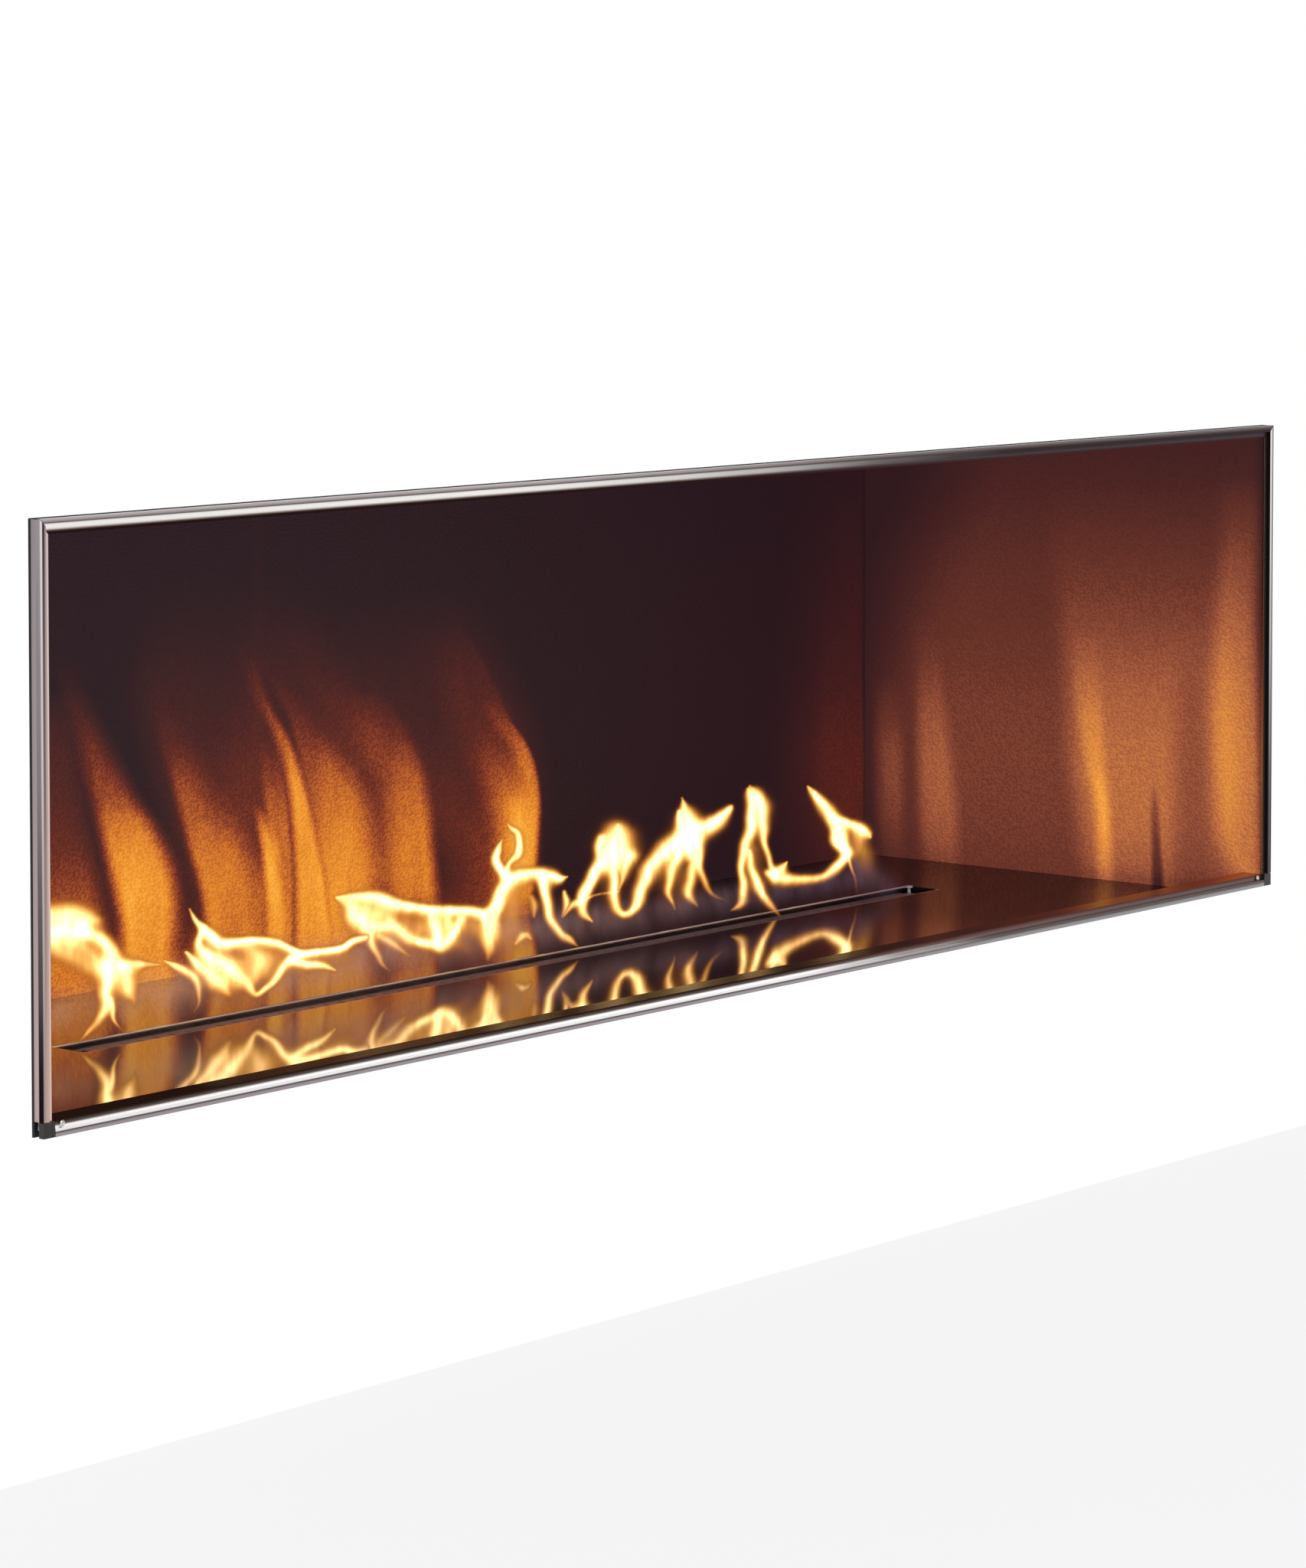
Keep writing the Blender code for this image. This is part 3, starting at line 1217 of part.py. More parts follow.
def build_igniter(b):
    """The spark generator's body, hung in the bracket by its collar."""
    top = IGNITER_TOP
    bore = BUTTON_RADIUS + SEAT_GAP
    floor = BUTTON_LOW - BUTTON_TRAVEL - SEAT_GAP
    shoulder = BRACKET_TOP - BRACKET_SHEET - SEAT_GAP
    collar = BRACKET_TOP + SEAT_GAP
    low = shoulder - IGNITER_HEIGHT
    profile = [
        (0, floor),
        (bore, floor),
        (bore, top),
        (IGNITER_COLLAR_RADIUS, top),
        (IGNITER_COLLAR_RADIUS, collar),
        (IGNITER_NECK_RADIUS, collar),
        (IGNITER_NECK_RADIUS, shoulder),
        (IGNITER_RADIUS, shoulder),
        (IGNITER_RADIUS, low),
        (0, low),
    ]
    mesh = turned("igniter_body", profile, "Z", (IGNITER_X, IGNITER_Y, 0), SMALL_ROUND_STEPS)
    b.place("igniter_body", mesh, "control_black")


def build_button(b):
    """The igniter's push button, sliding in the collar's bore."""
    profile = [
        (0, BUTTON_HEIGHT),
        (BUTTON_RADIUS - BUTTON_ROUNDING, BUTTON_HEIGHT),
        (BUTTON_RADIUS, BUTTON_HEIGHT - BUTTON_ROUNDING),
        (BUTTON_RADIUS, 0),
        (0, 0),
    ]
    centre = Vector((IGNITER_X, IGNITER_Y, BUTTON_LOW))
    mesh = turned("igniter_button", profile, "Z", centre, SMALL_ROUND_STEPS)
    b.place("igniter_button", mesh, "lead_red", origin=centre)


# Pilot group


def probe_places():
    """Where the electrode and the thermocouple stand, in front of and behind the pilot."""
    return (PILOT_Y - PROBE_SPREAD, PILOT_Y + PROBE_SPREAD)


def build_pilot_bracket(b):
    """An angle on the trough's end wall whose arm carries the pilot, electrode and thermocouple."""
    wall = TROUGH_RIGHT - TROUGH_SHEET - SEAT_GAP
    arm = PILOT_ARM_TOP - PILOT_SHEET
    left = BURNER_RIGHT + SEAT_GAP
    path = [(wall, arm - PILOT_LEG), (wall, PILOT_ARM_TOP), (left, PILOT_ARM_TOP)]
    outline = bent_sheet(path, PILOT_SHEET)
    half = PILOT_HALF_WIDTH
    mesh = extrusion("pilot_bracket", [outline], "Y", PILOT_Y - half, PILOT_Y + half)
    ob = b.place("pilot_bracket", mesh, "burner_steel")
    reach = (arm - CUT_OVERRUN, PILOT_ARM_TOP + CUT_OVERRUN)
    b.cut(ob, rod("pilot_hole", PILOT_NECK_RADIUS + SEAT_GAP, "Z", (PILOT_X, PILOT_Y, 0), *reach))
    front, rear = probe_places()
    shank = ELECTRODE_TIP_RADIUS * 2
    b.cut(ob, rod("electrode_hole", shank + SEAT_GAP, "Z", (PROBE_X, front, 0), *reach))
    b.cut(ob, rod("probe_hole", THERMOCOUPLE_RADIUS + SEAT_GAP, "Z", (PROBE_X, rear, 0), *reach))


def pilot_low():
    return PILOT_ARM_TOP - PILOT_SHEET - PROBE_SHANK


def build_pilot_hood(b):
    """The pilot burner: body, neck and the small bright cap that shows in the slot."""
    base = PILOT_ARM_TOP + SEAT_GAP
    cap = DECK_HEIGHT
    stem = cap - PILOT_STEM_HEIGHT
    profile = [
        (0, cap + PILOT_CAP_THICKNESS),
        (PILOT_CAP_RADIUS, cap + PILOT_CAP_THICKNESS),
        (PILOT_CAP_RADIUS, cap),
        (PILOT_STEM_RADIUS, cap),
        (PILOT_STEM_RADIUS, stem),
        (PILOT_NECK_RADIUS, stem),
        (PILOT_NECK_RADIUS, base + PILOT_BODY_HEIGHT),
        (PILOT_BODY_RADIUS, base + PILOT_BODY_HEIGHT),
        (PILOT_BODY_RADIUS, base),
        (PILOT_NECK_RADIUS, base),
        (PILOT_NECK_RADIUS, pilot_low()),
        (0, pilot_low()),
    ]
    mesh = turned("pilot_hood", profile, "Z", (PILOT_X, PILOT_Y, 0), SMALL_ROUND_STEPS)
    b.place("pilot_hood", mesh, "trim_stainless")


def build_electrode(b):
    """A ceramic sleeve with a thin spark rod."""
    base = PILOT_ARM_TOP + SEAT_GAP
    shank = ELECTRODE_TIP_RADIUS * 2
    top = base + ELECTRODE_HEIGHT
    profile = [
        (0, top + ELECTRODE_TIP_HEIGHT),
        (ELECTRODE_TIP_RADIUS, top + ELECTRODE_TIP_HEIGHT),
        (ELECTRODE_TIP_RADIUS, top),
        (ELECTRODE_RADIUS, top),
        (ELECTRODE_RADIUS, base),
        (shank, base),
        (shank, pilot_low()),
        (0, pilot_low()),
    ]
    front, rear = probe_places()
    mesh = turned("electrode", profile, "Z", (PROBE_X, front, 0), SMALL_ROUND_STEPS)
    b.place("electrode", mesh, "ceramic_white")


def capillary_height():
    return TROUGH_FLOOR + SEAT_GAP + CAPILLARY_RADIUS


def build_thermocouple(b):
    """The sensing probe with its thin capillary back to the valve."""
    base = PILOT_ARM_TOP + SEAT_GAP
    radius = THERMOCOUPLE_RADIUS
    shoulder = radius + PROBE_SHOULDER / 2
    profile = [
        (0, base + THERMOCOUPLE_HEIGHT),
        (radius, base + THERMOCOUPLE_HEIGHT - radius),
        (radius, base + PROBE_SHOULDER),
        (shoulder, base + PROBE_SHOULDER),
        (shoulder, base),
        (radius, base),
        (radius, pilot_low()),
        (0, pilot_low()),
    ]
    front, rear = probe_places()
    mesh = turned("thermocouple", profile, "Z", (PROBE_X, rear, 0), SMALL_ROUND_STEPS)
    ob = b.place("thermocouple", mesh, "burner_steel")
    y = SLOT_FROM_WALL + CAPILLARY_OFFSET
    corners = [
        (PROBE_X, rear, pilot_low() + PROBE_SHOULDER),
        (PROBE_X, rear, pilot_low() - TUBE_BEND_RADIUS),
        (PROBE_X - TUBE_BEND_RADIUS * 2, y, capillary_height()),
        (VALVE_RIGHT + SEAT_GAP, y, capillary_height()),
    ]
    b.join(ob, tube("capillary", rounded_route(corners, TUBE_BEND_RADIUS), CAPILLARY_RADIUS))


def pilot_tube_height():
    return FOOT_TOP + SEAT_GAP + PILOT_TUBE_RADIUS


def build_pilot_tube(b):
    """The pilot's gas tube, laid on the saddles' feet."""
    y = SLOT_FROM_WALL + PILOT_TUBE_OFFSET
    z = pilot_tube_height()
    corners = [
        (VALVE_RIGHT + SEAT_GAP, y, z),
        (PILOT_X, y, z),
        (PILOT_X, PILOT_Y, z + TUBE_BEND_RADIUS),
        (PILOT_X, PILOT_Y, pilot_low() - SEAT_GAP),
    ]
    mesh = tube("pilot_tube", rounded_route(corners, TUBE_BEND_RADIUS), PILOT_TUBE_RADIUS)
    b.place("pilot_tube", mesh, "brass")


def lead_height():
    return FOOT_TOP + SEAT_GAP + LEAD_RADIUS


def build_ignition_lead(b):
    """The insulated lead from the spark generator to the electrode."""
    front, rear = probe_places()
    y = SLOT_FROM_WALL - LEAD_OFFSET
    z = lead_height()
    igniter_side = IGNITER_X + IGNITER_RADIUS + SEAT_GAP
    entry = z + 2 * LEAD_RADIUS + IGNITER_RADIUS
    corners = [
        (igniter_side, IGNITER_Y, entry),
        (igniter_side + 3 * TUBE_BEND_RADIUS, IGNITER_Y, entry),
        (TROUGH_LEFT - 3 * TUBE_BEND_RADIUS, y, z),
        (PROBE_X, y, z),
        (PROBE_X, front, z + TUBE_BEND_RADIUS),
        (PROBE_X, front, pilot_low() - SEAT_GAP),
    ]
    mesh = tube("ignition_lead", rounded_route(corners, TUBE_BEND_RADIUS), LEAD_RADIUS)
    b.place("ignition_lead", mesh, "lead_red")


# Gas inlet


def inlet_centre():
    return (0, INLET_FROM_WALL, INLET_HEIGHT)


def build_inlet_pipe(b):
    left = -CASING_OUTER - PIPE_OUTSIDE
    right = INLET_VALVE_LEFT - SEAT_GAP
    profile = [(PIPE_BORE, right), (PIPE_RADIUS, right), (PIPE_RADIUS, left), (PIPE_BORE, left)]
    b.place("inlet_pipe", turned("inlet_pipe", profile, "X", inlet_centre()), "galvanised")


def build_grommet(b):
    """A ring that grips the edge of the casing's hole."""
    bore = PIPE_RADIUS + SEAT_GAP
    neck = bore + GROMMET_WALL
    rim = neck + GROMMET_FLANGE
    outside = -CASING_OUTER - SEAT_GAP
    inside = -CASING_INNER + SEAT_GAP
    profile = [
        (bore, inside + GROMMET_FLANGE_THICKNESS),
        (rim, inside + GROMMET_FLANGE_THICKNESS),
        (rim, inside),
        (neck, inside),
        (neck, outside),
        (rim, outside),
        (rim, outside - GROMMET_FLANGE_THICKNESS),
        (bore, outside - GROMMET_FLANGE_THICKNESS),
    ]
    b.place("pipe_grommet", turned("pipe_grommet", profile, "X", inlet_centre()), "rubber_black")


def build_shutoff_valve(b):
    """A ball valve body with two hexagonal ends, a bore and a stem for the lever."""
    left = INLET_VALVE_LEFT
    right = INLET_VALVE_RIGHT
    mesh = rod("shutoff_valve", SHUTOFF_WAIST_RADIUS, "X", inlet_centre(), left, right)
    ob = b.place("shutoff_valve", mesh, "brass")
    end = SHUTOFF_END_LENGTH
    outside = SEAT_GAP / 3
    for start, stop in ((left - outside, left + end), (right - end, right + outside)):
        b.join(ob, rod("valve_end", SHUTOFF_END_RADIUS, "X", inlet_centre(), start, stop, 6))
    stem = (HANDLE_X, INLET_FROM_WALL, 0)
    stem_top = INLET_HEIGHT + SHUTOFF_STEM_HEIGHT
    b.join(ob, rod("stem", SHUTOFF_STEM_RADIUS, "Z", stem, INLET_HEIGHT, stem_top))
    pin_top = HANDLE_LOW + HANDLE_THICKNESS + SEAT_GAP
    b.join(ob, rod("pin", HANDLE_PIN_RADIUS, "Z", stem, INLET_HEIGHT, pin_top))
    reach = (left - CUT_OVERRUN, right + CUT_OVERRUN)
    b.cut(ob, rod("valve_bore", PIPE_BORE, "X", inlet_centre(), *reach))


def build_shutoff_handle(b):
    """A flat lever with a round hub, shown open, in line with the pipe."""
    points = []
    half = HANDLE_WIDTH / 2
    spread = math.asin(half / HANDLE_HUB_RADIUS)
    steps = SMALL_ROUND_STEPS
    for step in range(steps + 1):
        angle = spread + (2 * math.pi - 2 * spread) * step / steps
        points.append((HANDLE_HUB_RADIUS * math.cos(angle), HANDLE_HUB_RADIUS * math.sin(angle)))
    for step in range(SLOT_END_STEPS + 1):
        angle = math.pi * (step / SLOT_END_STEPS - 0.5)
        points.append((HANDLE_LENGTH - half + half * math.cos(angle), half * math.sin(angle)))
    outline = [(HANDLE_X + x, INLET_FROM_WALL + y) for x, y in points]
    origin = (HANDLE_X, INLET_FROM_WALL, HANDLE_LOW)
    top = HANDLE_LOW + HANDLE_THICKNESS
    mesh = extrusion("shutoff_handle", [outline], "Z", HANDLE_LOW, top)
    ob = b.place("shutoff_handle", mesh, "handle_yellow", origin=origin)
    hole = HANDLE_PIN_RADIUS + SEAT_GAP
    centre = (HANDLE_X, INLET_FROM_WALL, 0)
    b.cut(ob, rod("lever_hole", hole, "Z", centre, HANDLE_LOW - CUT_OVERRUN, top + CUT_OVERRUN))


def bezier(points, share):
    while len(points) > 1:
        points = [first.lerp(second, share) for first, second in zip(points, points[1:])]
    return points[0]


def connector_corners():
    """The two straight ends of the connector and the handles of the bend between them."""
    straight = 2 * CONNECTOR_RADIUS
    start = Vector((INLET_VALVE_RIGHT + SEAT_GAP, INLET_FROM_WALL, INLET_HEIGHT))
    end = Vector((INLET_PORT_X, VALVE_FRONT - VALVE_INLET_LENGTH - SEAT_GAP, INLET_PORT_Z))
    leave = start + Vector((straight, 0, 0))
    arrive = end - Vector((0, straight, 0))
    pulls = [leave, leave + Vector((CONNECTOR_PULL, 0, 0)), arrive - Vector((0, CONNECTOR_PULL, 0)), arrive]
    return start, pulls, end


def build_flex_connector(b):
    """The corrugated connector: every rib is a wide and a narrow point of the tube."""
    start, pulls, end = connector_corners()
    samples = [bezier(pulls, step / PATH_SAMPLES) for step in range(PATH_SAMPLES + 1)]
    length = sum((after - before).length for before, after in zip(samples, samples[1:]))
    ribs = max(int(length / CONNECTOR_RIB_PITCH), 1)
    route = [start]
    radii = [1]
    narrow = 1 - CONNECTOR_RIB / CONNECTOR_RADIUS
    for step in range(2 * ribs + 1):
        route.append(bezier(pulls, step / (2 * ribs)))
        radii.append(1 if step % 2 == 0 else narrow)
    route.append(end)
    radii.append(1)
    ob = b.place("flex_connector", tube("flex_connector", route, CONNECTOR_RADIUS, radii), "brass")
    overrun = Vector((CUT_OVERRUN, 0, 0))
    bore = [start - overrun]
    bore += [bezier(pulls, step / CONNECTOR_BORE_STEPS) for step in range(CONNECTOR_BORE_STEPS + 1)]
    bore.append(end + Vector((0, CUT_OVERRUN, 0)))
    b.cut(ob, tube("connector_bore", bore, CONNECTOR_BORE))


def build_all():
    b = Builder()
    build_trim_top(b)
    build_trim_bottom(b)
    build_gasket(b)
    build_front_frame(b)
    for word, side in (("left", -1), ("right", 1)):
        build_trim_side(b, "trim_" + word, side)
        build_trim_corner(b, "trim_corner_" + word, side)
        build_trim_screw(b, "trim_screw_" + word, side)
        build_nailing_flange(b, "nailing_flange_" + word, side)
        build_casing_side(b, "casing_" + word, side)
        build_runner(b, "runner_" + word, side)
        build_standoff(b, "standoff_front_" + word, side, 0)
        build_standoff(b, "standoff_back_" + word, side, 1)
        build_rear_spacer(b, "rear_spacer_" + word, side)
        build_liner_side(b, "liner_" + word, side)
        build_burner_cap(b, "burner_cap_" + word, side)
    build_casing_back(b)
    build_casing_top(b)
    build_base_pan(b)
    build_heat_shield(b)
    build_drain(b)
    build_liner_back(b)
    build_liner_top(b)
    build_deck(b)
    build_trough(b)
    build_trough_leg(b, "trough_leg_left", TROUGH_LEFT + LEG_INSET)
    build_trough_leg(b, "trough_leg_right", TROUGH_RIGHT - LEG_INSET)
    build_saddle(b, "burner_saddle_left", BURNER_LEFT + SADDLE_INSET)
    build_saddle(b, "burner_saddle_right", BURNER_RIGHT - SADDLE_INSET)
    build_burner_body(b)
    build_burner_top(b)
    build_venturi(b)
    build_air_shutter(b)
    build_gas_jet(b)
    build_gas_valve(b)
    build_control_bracket(b)
    build_knob(b)
    build_igniter(b)
    build_button(b)
    build_pilot_bracket(b)
    build_pilot_hood(b)
    build_electrode(b)
    build_thermocouple(b)
    build_pilot_tube(b)
    build_ignition_lead(b)
    build_inlet_pipe(b)
    build_grommet(b)
    build_shutoff_valve(b)
    build_shutoff_handle(b)
    build_flex_connector(b)
    bpy.context.view_layer.update()


build_all()
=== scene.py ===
# %% [markdown]
# # A built-in outdoor linear fireplace
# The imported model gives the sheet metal, the burner and the gas controls in metres. This lesson
# dresses it: a camera, a plain studio, one material for each finish, and the flames, which no
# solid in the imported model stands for.

import bpy
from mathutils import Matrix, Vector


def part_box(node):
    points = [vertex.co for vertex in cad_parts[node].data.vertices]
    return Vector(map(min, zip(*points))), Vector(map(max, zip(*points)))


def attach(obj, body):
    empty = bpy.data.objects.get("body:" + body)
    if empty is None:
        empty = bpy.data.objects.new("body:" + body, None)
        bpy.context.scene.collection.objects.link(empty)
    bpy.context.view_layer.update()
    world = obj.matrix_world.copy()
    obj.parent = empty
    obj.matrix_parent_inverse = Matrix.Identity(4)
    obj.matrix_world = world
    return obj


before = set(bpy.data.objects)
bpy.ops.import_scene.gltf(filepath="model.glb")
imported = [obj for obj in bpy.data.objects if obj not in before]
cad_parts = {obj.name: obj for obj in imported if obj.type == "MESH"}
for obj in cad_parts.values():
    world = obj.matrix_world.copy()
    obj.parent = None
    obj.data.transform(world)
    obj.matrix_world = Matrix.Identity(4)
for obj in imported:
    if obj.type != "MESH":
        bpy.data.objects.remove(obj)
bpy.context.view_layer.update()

import bpy
import math
import numpy as np
from mathutils import Vector

MILLIMETRE = 0.001
scene = bpy.context.scene

# %% [markdown]
# ## The camera
# The photograph was taken from the left of the opening with a long lens, almost level. Verticals
# stay upright because the camera is hardly tilted and the frame is shifted down instead, as on a
# view camera. The picture is 1706 by 2048 pixels, so a long side of 2048 pixels is the sensor's 36 mm.

# %% The camera
PHOTO_WIDTH = 1706
PHOTO_HEIGHT = 2048
AXIS_ROW = 553
FOCAL_PIXELS = 6578
SENSOR = 36.0
CAMERA_PLACE = Vector((-2.502, -2.1628, 0.717))
CAMERA_TURN = math.radians(50.84)
CAMERA_DIP = math.radians(3.0)

camera_data = bpy.data.cameras.new("photo_camera")
camera_data.lens = FOCAL_PIXELS * SENSOR / PHOTO_HEIGHT
camera_data.sensor_width = SENSOR
camera_data.shift_y = (AXIS_ROW - PHOTO_HEIGHT / 2) / PHOTO_HEIGHT
camera = bpy.data.objects.new("photo_camera", camera_data)
scene.collection.objects.link(camera)
camera.location = CAMERA_PLACE
camera.rotation_euler = (math.pi / 2 - CAMERA_DIP, 0, -CAMERA_TURN)
scene.camera = camera
bpy.context.view_layer.update()
CAMERA_AXES = camera.matrix_world.to_3x3()
print("lens", round(camera_data.lens, 1), "mm, shift", round(camera_data.shift_y, 3))

# %% [markdown]
# ## From a pixel to a place
# Flames and their glow are placed in pixels of the photograph. A ray from the camera through a pixel
# meets a plane of the fireplace in one point, so a pixel on a known plane is a place in metres.

# %% From a pixel to a place
def pixel_ray(column, row):
    """The direction from the camera through a pixel of the photograph."""
    across = (column - PHOTO_WIDTH / 2) / FOCAL_PIXELS
    up = (AXIS_ROW - row) / FOCAL_PIXELS
    return CAMERA_AXES @ Vector((across, up, -1))


def on_plane(column, row, axis, place):
    """The point where a pixel's ray meets the plane at that place on an axis: 0 is x, 1 is y, 2 is z."""
    ray = pixel_ray(column, row)
    return CAMERA_PLACE + ray * ((place - CAMERA_PLACE[axis]) / ray[axis])


def pixel_of(point):
    """The pixel of the photograph where a point is seen."""
    seen = CAMERA_AXES.transposed() @ (Vector(point) - CAMERA_PLACE)
    return (
        PHOTO_WIDTH / 2 - seen.x / seen.z * FOCAL_PIXELS,
        AXIS_ROW + seen.y / seen.z * FOCAL_PIXELS,
    )


trim_low, trim_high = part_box("trim_bottom")
print("front left corner at pixel", [round(v) for v in pixel_of(trim_low)])
print("the sill's far corner at pixel", [round(v) for v in pixel_of(trim_high)])

# %% [markdown]
# ## Building materials from nodes
# Each finish is a small network that ends in one Principled shader. One function adds a node and
# joins or sets its inputs, and a short class keeps the wiring readable: every call returns the
# output to pass on. Patterns read Object coordinates, which are metres on every piece here.

# %% A helper for materials
def feed(tree, socket, value):
    """Joins another node's output to a socket, or sets a plain value on it."""
    if isinstance(value, bpy.types.NodeSocket):
        tree.links.new(value, socket)
    elif value is not None:
        socket.default_value = value


def add_node(tree, kind, *values, **named):
    """Adds a node and feeds its inputs, by their order or by their names."""
    node = tree.nodes.new("ShaderNode" + kind)
    for place, value in [*enumerate(values), *named.items()]:
        feed(tree, node.inputs[place], value)
    return node


class Finish:
    """A material that is wired node by node into one Principled shader."""

    def __init__(self, name):
        self.material = bpy.data.materials.new(name)
        self.material.use_nodes = True
        self.tree = self.material.node_tree
        self.tree.nodes.clear()
        self.shader = self.node("BsdfPrincipled")
        self.node("OutputMaterial", self.shader.outputs[0])
        self.place = self.node("TexCoord").outputs["Object"]

    def node(self, kind, *values, **named):
        """Adds a node to this material."""
        return add_node(self.tree, kind, *values, **named)

    def set(self, **values):
        """Sets the Principled shader's inputs; a name's underscores stand for spaces."""
        for name, value in values.items():
            feed(self.tree, self.shader.inputs[name.replace("_", " ")], value)

    def math(self, operation, first, second=None, clamp=False):
        """One sum, product or difference, kept between 0 and 1 where it is clamped."""
        node = self.node("Math", first, second)
        node.operation = operation
        node.use_clamp = clamp
        return node.outputs[0]

    def ranged(self, value, low, high, to_low=0.0, to_high=1.0, smooth=False):
        """Maps a value from one range to another and stops at the ends."""
        node = self.node("MapRange", value, low, high, to_low, to_high)
        node.interpolation_type = "SMOOTHSTEP" if smooth else "LINEAR"
        return node.outputs[0]

    def spread(self, noise, low, high):
        """Maps a noise, which hardly leaves the range from 0.3 to 0.7, to a range of its own."""
        return self.ranged(noise, 0.3, 0.7, low, high)

    def axes(self, vector=None):
        """The three parts of a vector, which is the place on the piece if none is given."""
        return self.node("SeparateXYZ", vector or self.place).outputs

    def stretched(self, scale, shift=(0, 0, 0)):
        """The place on the piece, stretched along its axes."""
        return self.node("Mapping", Vector=self.place, Scale=scale, Location=shift).outputs[0]

    def noise(self, vector, scale, detail=2.0):
        """Soft random clouds, with that many in a metre."""
        return self.node("TexNoise", Vector=vector, Scale=scale, Detail=detail).outputs["Fac"]

    def cells(self, vector, scale, output="Distance"):
        """A pattern of cells, with that many in a metre."""
        return self.node("TexVoronoi", Vector=vector, Scale=scale).outputs[output]

    def ramp(self, value, stops):
        """Colours along a value from 0 to 1; stops are (place, hex colour)."""
        node = self.node("ValToRGB", value)
        bar = node.color_ramp.elements
        bar.remove(bar[1])
        bar[0].position = stops[0][0]
        bar[0].color = tone(stops[0][1])
        for place, colour in stops[1:]:
            bar.new(place).color = tone(colour)
        return node.outputs[0]

    def blend(self, share, first, second, mode="MIX"):
        """Two colours mixed by a share; inputs 6 and 7 and output 2 are the node's colours."""
        node = self.node("Mix", share)
        node.data_type = "RGBA"
        node.blend_type = mode
        feed(self.tree, node.inputs[6], first)
        feed(self.tree, node.inputs[7], second)
        return node.outputs[2]

    def relief(self, height, depth, strength):
        """A bump from a height; its depth is in metres."""
        return self.node("Bump", Height=height, Distance=depth, Strength=strength).outputs[0]

    def attribute(self, name):
        """A number that the mesh holds for each of its corners."""
        node = self.node("Attribute")
        node.attribute_name = name
        return node.outputs["Fac"]

    def curve(self, value, points):
        """A drawn line: its points are (from, to), both from 0 to 1."""
        node = self.node("FloatCurve", Value=value)
        line = node.mapping.curves[0].points
        while len(line) < len(points):
            line.new(0.5, 0.5)
        for point, place in zip(line, points):
            point.location = place
            point.handle_type = "AUTO"
        node.mapping.extend = "HORIZONTAL"
        node.mapping.update()
        return node.outputs[0]


def tone(code):
    """A colour as the screen shows it, such as '2b1b1f', as the linear values that nodes take."""
    parts = [int(code[i : i + 2], 16) / 255 for i in (0, 2, 4)]
    linear = [p / 12.92 if p <= 0.04045 else ((p + 0.055) / 1.055) ** 2.4 for p in parts]
    return (*linear, 1.0)


def dress(finish, *names):
    """Gives CAD nodes a material without touching their meshes."""
    for name in names:
        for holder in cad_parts[name].material_slots:
            holder.material = finish.material
    print(finish.material.name, "on", len(names))


print("mid grey as linear values:", [round(part, 3) for part in tone("808080")])

# %% [markdown]
# ## The studio
# The floor and the wall are plain white. The wall is a board with the opening cut out, because
# the real unit is built in and only its trim shows. It fills the camera's frame and no more, so
# the casing can be seen from behind and above. White that only camera, mirror and glass rays see
# comes from the material, so the lamps stay gentle.

# %% The floor and the wall board
WALL_Y = -0.1948
WALL_SIDE = 1.02
WALL_TOP = 0.92
FLOOR_REACH = 9.0
CUT_CLEARANCE = 0.2 * MILLIMETRE
BACKDROP_WHITE = 1.0
MATT_WHITE = "f2f2f2"
FLOOR_OWN_SHADE = 0.2


def seen_rays(tree):
    """1 for the rays of the camera, of mirrors and of glass, and 0 for all others."""
    rays = add_node(tree, "LightPath").outputs
    seen = rays["Is Camera Ray"]
    for other in ("Is Glossy Ray", "Is Transmission Ray"):
        either = add_node(tree, "Math", seen, rays[other])
        either.operation = "MAXIMUM"
        seen = either.outputs[0]
    return seen


def backdrop(name, white_share):
    """A matt white that shows as pure white to the camera and in mirrors, by that share."""
    material = bpy.data.materials.new(name)
    material.use_nodes = True
    tree = material.node_tree
    tree.nodes.clear()
    matt = add_node(tree, "BsdfDiffuse", Color=tone(MATT_WHITE))
    white = add_node(tree, "Emission", Strength=BACKDROP_WHITE)
    share = add_node(tree, "Math", seen_rays(tree), white_share)
    share.operation = "MULTIPLY"
    mix = add_node(tree, "MixShader", share.outputs[0], matt.outputs[0], white.outputs[0])
    add_node(tree, "OutputMaterial", mix.outputs[0])
    return material


def clear_selection():
    """Leaves nothing selected, so that the next operator acts on the new piece alone."""
    bpy.ops.object.select_all(action="DESELECT")


def cut_line(place, along):
    """Cuts the board along one line in edit mode."""
    bpy.ops.mesh.select_all(action="SELECT")
    bpy.ops.mesh.bisect(plane_co=place, plane_no=along)


clear_selection()
bpy.ops.mesh.primitive_plane_add(size=2 * FLOOR_REACH, location=(0, 0, 0))
floor = bpy.context.object
floor.name = "studio_floor"
floor.data.materials.append(backdrop("floor_white", 1 - FLOOR_OWN_SHADE))

clear_selection()
upright = (math.pi / 2, 0, 0)
bpy.ops.mesh.primitive_plane_add(size=1, location=(0, WALL_Y, WALL_TOP / 2), rotation=upright)
board = bpy.context.object
board.name = "studio_wall"
board.scale = (2 * WALL_SIDE, WALL_TOP, 1)
bpy.ops.object.transform_apply(location=True, rotation=True, scale=True)
trim_box = [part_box(n) for n in ("trim_left", "trim_right", "trim_bottom", "trim_top")]
CUT_LEFT = trim_box[0][0].x - CUT_CLEARANCE
CUT_RIGHT = trim_box[1][1].x + CUT_CLEARANCE
CUT_LOW = trim_box[2][0].z - CUT_CLEARANCE
CUT_HIGH = trim_box[3][1].z + CUT_CLEARANCE
bpy.ops.object.mode_set(mode="EDIT")
cut_line((CUT_LEFT, 0, 0), (1, 0, 0))
cut_line((CUT_RIGHT, 0, 0), (1, 0, 0))
cut_line((0, 0, CUT_LOW), (0, 0, 1))
cut_line((0, 0, CUT_HIGH), (0, 0, 1))
bpy.ops.mesh.select_all(action="DESELECT")
bpy.ops.object.mode_set(mode="OBJECT")
